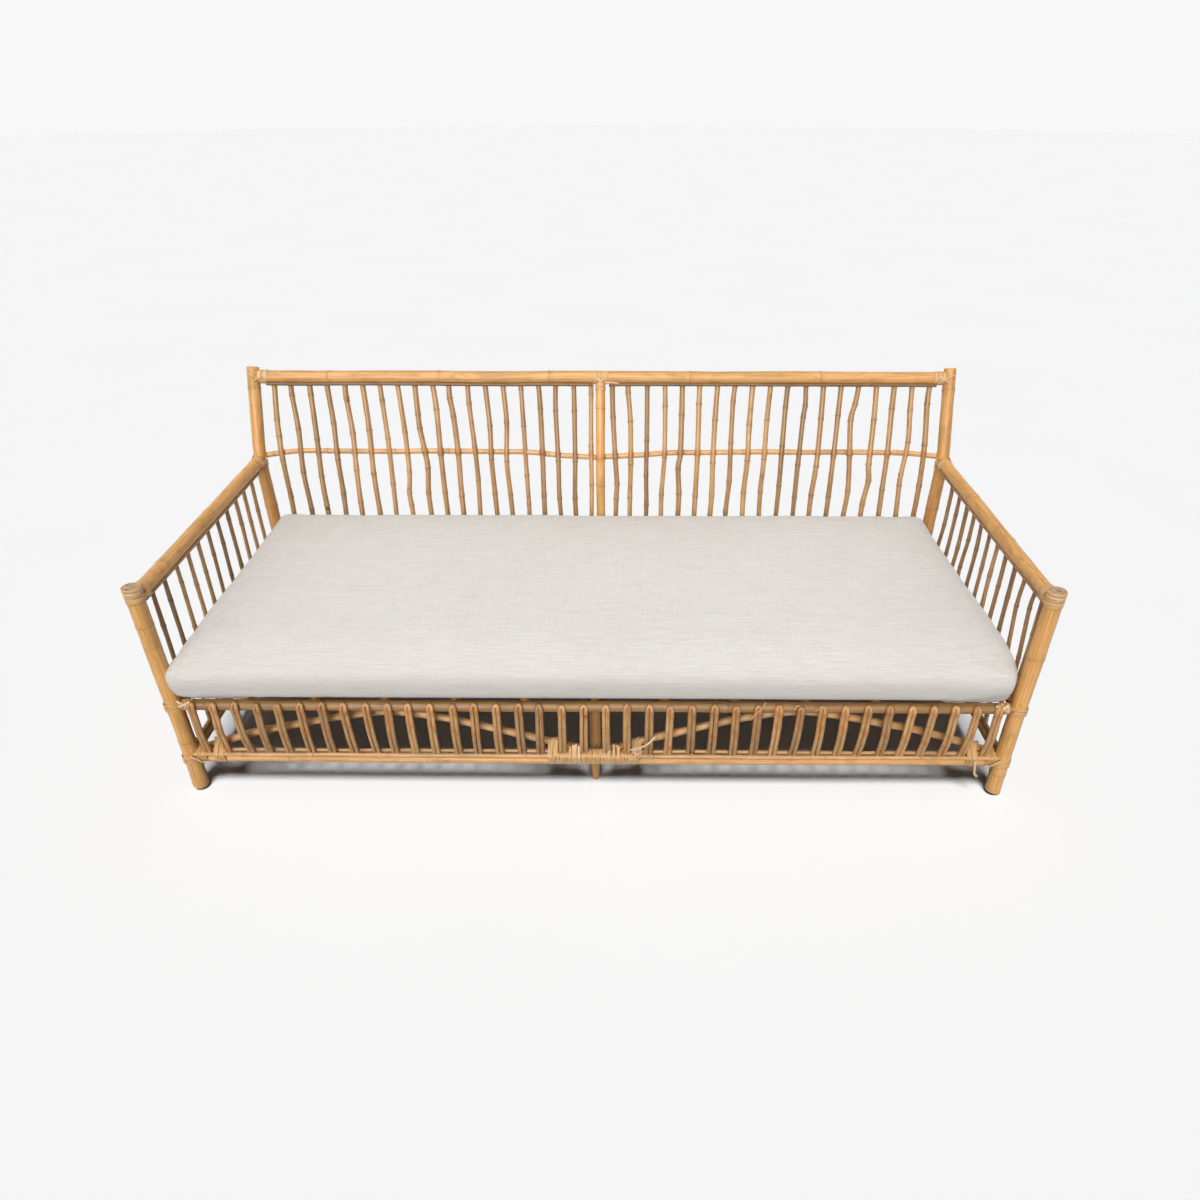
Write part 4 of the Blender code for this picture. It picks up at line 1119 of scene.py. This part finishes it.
def crumple(x, y, z, up):
    """Slow waves over the top, and along each end a seam line with small puckers."""
    wave = (np.sin(x * 7.1 + 0.6) * np.sin(y * 9.3 + 1.1) + 0.6 * np.sin(x * 17.3 - y * 11.0 + 2.0)
            + 0.35 * np.sin(x * 31.0 + y * 23.0))
    z = z + 0.001 * wave * ease(up, 0.5, 1.0)
    inward = MATTRESS_END - np.abs(x)
    pucker = np.sin(y * 170.0 + 2.2 * np.sin(y * 37.0) + np.sign(x)) * np.exp(-np.clip(inward, 0, 1) / 0.03)
    return z + (0.0009 * pucker - 0.0014 * np.exp(-((inward - 0.016) / 0.005) ** 2)) * ease(up, 0.75, 1.0)


def sag_behind_rail(x, y, z, up, lo):
    """Let the underside hang a little behind the front rail, near both ends."""
    ends = ease(np.abs(x), 0.775, 0.825)
    sag = ends * ease(y - lo.y, 0.016, 0.028) * (1 - ease(y - lo.y, 0.05, 0.1))
    return z - sag * (z - lo.z + 0.0055) * (1 - ease(up, 0.0, 0.3))


def between_posts(x, y):
    """Keep the ends clear of the front posts' round sides, and of the arm canes behind them."""
    behind = 0.9606 + 0.01 * ease(y, FRONT_Y + 0.022, FRONT_Y + 0.08)
    round_post = POST_X - np.sqrt(np.clip((FRONT_R + 0.0004) ** 2 - (y - FRONT_Y) ** 2, 0.0, None))
    reach = np.where(y < FRONT_Y, np.minimum(round_post, 0.974), behind)
    return np.clip(x, -reach, reach)


def settle(obj):
    """Stretch the swollen slab over the CAD mattress's room, and give its edges their shape."""
    lo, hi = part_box("mattress")
    co = positions(obj.data)
    start, end = co.min(0), co.max(0)
    unit = (co - start) / (end - start)
    y = lo.y - 0.0005 + unit[:, 1] * (hi.y - lo.y + 0.001)
    z = lo.z + unit[:, 2] * (hi.z - lo.z + 0.0025)
    half = MATTRESS_END + 0.0005 + 0.009 * ease(-y, -0.3, 0.15)
    side = 2 * unit[:, 0] - 1
    bulge = 0.006 * np.exp(-((y + 0.27) / 0.1) ** 2)
    x = side * (half + bulge * (side > 0) * np.abs(side) ** 8)
    up = np.clip((z - lo.z) / (hi.z - lo.z), 0.0, 1.0)
    x, y, z = roll_front(x, y, z, up, lo)
    z = z + 0.0045 * ease(y, 0.0, 0.3) * ease(up, 0.5, 1.0)
    z = z + lift_front(x, y, up, lo)
    z = np.maximum(crumple(x, y, z, up), lo.z)
    z = sag_behind_rail(x, y, z, up, lo)
    x = between_posts(x, y)
    obj.data.vertices.foreach_set("co", np.column_stack((x, y, z)).astype(np.float32).ravel())
    obj.data.update()


def make_mattress():
    obj = start_slab()
    remesh = obj.modifiers.new("even", "REMESH")
    remesh.mode = "VOXEL"
    remesh.voxel_size = 0.009
    apply_all(obj)
    puff(obj)
    subdivide = obj.modifiers.new("fine", "SUBSURF")
    subdivide.levels = 1
    subdivide.render_levels = 1
    apply_all(obj)
    settle(obj)
    obj.data.shade_smooth()
    obj.data.materials.clear()
    obj.data.materials.append(LINEN)
    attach(obj, "mattress")
    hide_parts("mattress")


# ---- room, light and camera
def make_room():
    shape = bmesh.new()
    bmesh.ops.create_circle(shape, cap_ends=True, segments=64, radius=30.0)
    floor = show_shape("studio_floor", shape)
    n = Nodes("floor_paint")
    coord = n.add("ShaderNodeTexCoord").outputs["Object"]
    tint = n.noise(coord, (1.2, 1.2, 1.2), detail=2.0)
    paint = n.ramp(tint, (0.35, (0.846, 0.848, 0.852)), (0.65, (0.852, 0.854, 0.858)))
    floor.data.materials.append(n.finish(Base_Color=paint, Roughness=0.95, Specular_IOR_Level=0.0))
    floor.visible_diffuse = False

    shape = bmesh.new()
    bmesh.ops.create_uvsphere(shape, u_segments=48, v_segments=24, radius=29.0)
    dome = show_shape("studio_dome", shape)
    glow = {"Emission_Color": (0.938, 0.938, 0.938, 1.0), "Emission_Strength": 1.0}
    black = {"Base_Color": (0.0, 0.0, 0.0, 1.0), "Specular_IOR_Level": 0.0}
    dome.data.materials.append(Nodes("dome_paint").finish(**black, **glow))
    dome.visible_diffuse = False
    dome.visible_glossy = False
    dome.visible_shadow = False
    return floor


def sun(name, energy, spread, tilt, turn, colour, receivers, blockers=None):
    """A soft sun that lights the receivers: tilted from overhead, turned from the front (0) to the right."""
    lamp = bpy.data.lights.new(name, "SUN")
    lamp.energy = energy
    lamp.angle = math.radians(spread)
    lamp.color = colour
    holder = show(bpy.data.objects.new(name, lamp))
    holder.rotation_euler = (math.radians(tilt), 0.0, math.radians(turn))
    holder.light_linking.receiver_collection = receivers
    holder.light_linking.blocker_collection = blockers


def make_lights(pieces, floor):
    """One soft light for the floor, and for the daybed a top light with fills all round."""
    scene = bpy.context.scene
    world = bpy.data.worlds.new("studio_light")
    world.use_nodes = True
    background = world.node_tree.nodes["Background"]
    background.inputs["Color"].default_value = (0.97, 0.98, 1.0, 1.0)
    background.inputs["Strength"].default_value = 0.03
    scene.world = world
    everything = bpy.data.collections.new("all_pieces")
    lit = bpy.data.collections.new("lit_canes")
    cover = bpy.data.collections.new("lit_cover")
    for piece in pieces:
        everything.objects.link(piece)
        (cover if piece.name == "linen_mattress" else lit).objects.link(piece)
    ground = bpy.data.collections.new("lit_floor")
    ground.objects.link(floor)
    warm, neutral = (1.0, 0.985, 0.96), (1.0, 0.995, 0.985)
    sun("floor_top", 3.7, 18.0, 27.0, 0.0, (1.0, 0.998, 0.995), ground)
    sun("cover_sky", 1.8, 150.0, 0.0, 0.0, neutral, cover)
    sun("cover_left", 0.36, 80.0, 62.0, -78.0, neutral, cover)
    sun("cover_right", 0.32, 80.0, 62.0, 78.0, neutral, cover)
    sun("cover_front", 1.38, 70.0, 64.0, -6.0, (1.0, 0.985, 0.965), cover)
    sun("cover_low", 0.68, 60.0, 100.0, 0.0, (1.0, 0.96, 0.92), cover, everything)
    sun("daybed_top", 1.74, 36.0, 15.0, -25.0, warm, lit)
    sun("daybed_front", 2.66, 48.0, 67.0, -8.0, neutral, lit)
    sun("daybed_back_left", 0.72, 80.0, 64.0, -125.0, neutral, everything)
    sun("daybed_back_right", 0.72, 80.0, 64.0, 125.0, neutral, everything)
    scene.view_settings.view_transform = "Standard"
    scene.view_settings.look = "None"


def make_camera():
    data = bpy.data.cameras.new("photo_camera")
    data.sensor_width = 36.0
    data.lens = 26.37
    data.shift_x = -0.0111
    data.shift_y = 0.0692
    data.clip_end = 120.0
    camera = show(bpy.data.objects.new("photo_camera", data))
    camera.location = (0.0581, FRONT_Y - 1.6351, 1.4683)
    camera.rotation_euler = (math.radians(90 - 35.055), 0.0, math.radians(0.497))
    bpy.context.scene.camera = camera


make_posts()
make_rails()
make_back()
make_side_canes()
make_back_apron()
make_front_apron()
make_arches()
make_post_bindings()
make_rail_bindings()
make_bundle_bindings()
make_mattress()
pieces = [obj for obj in bpy.context.scene.objects if obj.type == "MESH" and not obj.hide_render]
floor = make_room()
make_lights(pieces, floor)
make_camera()
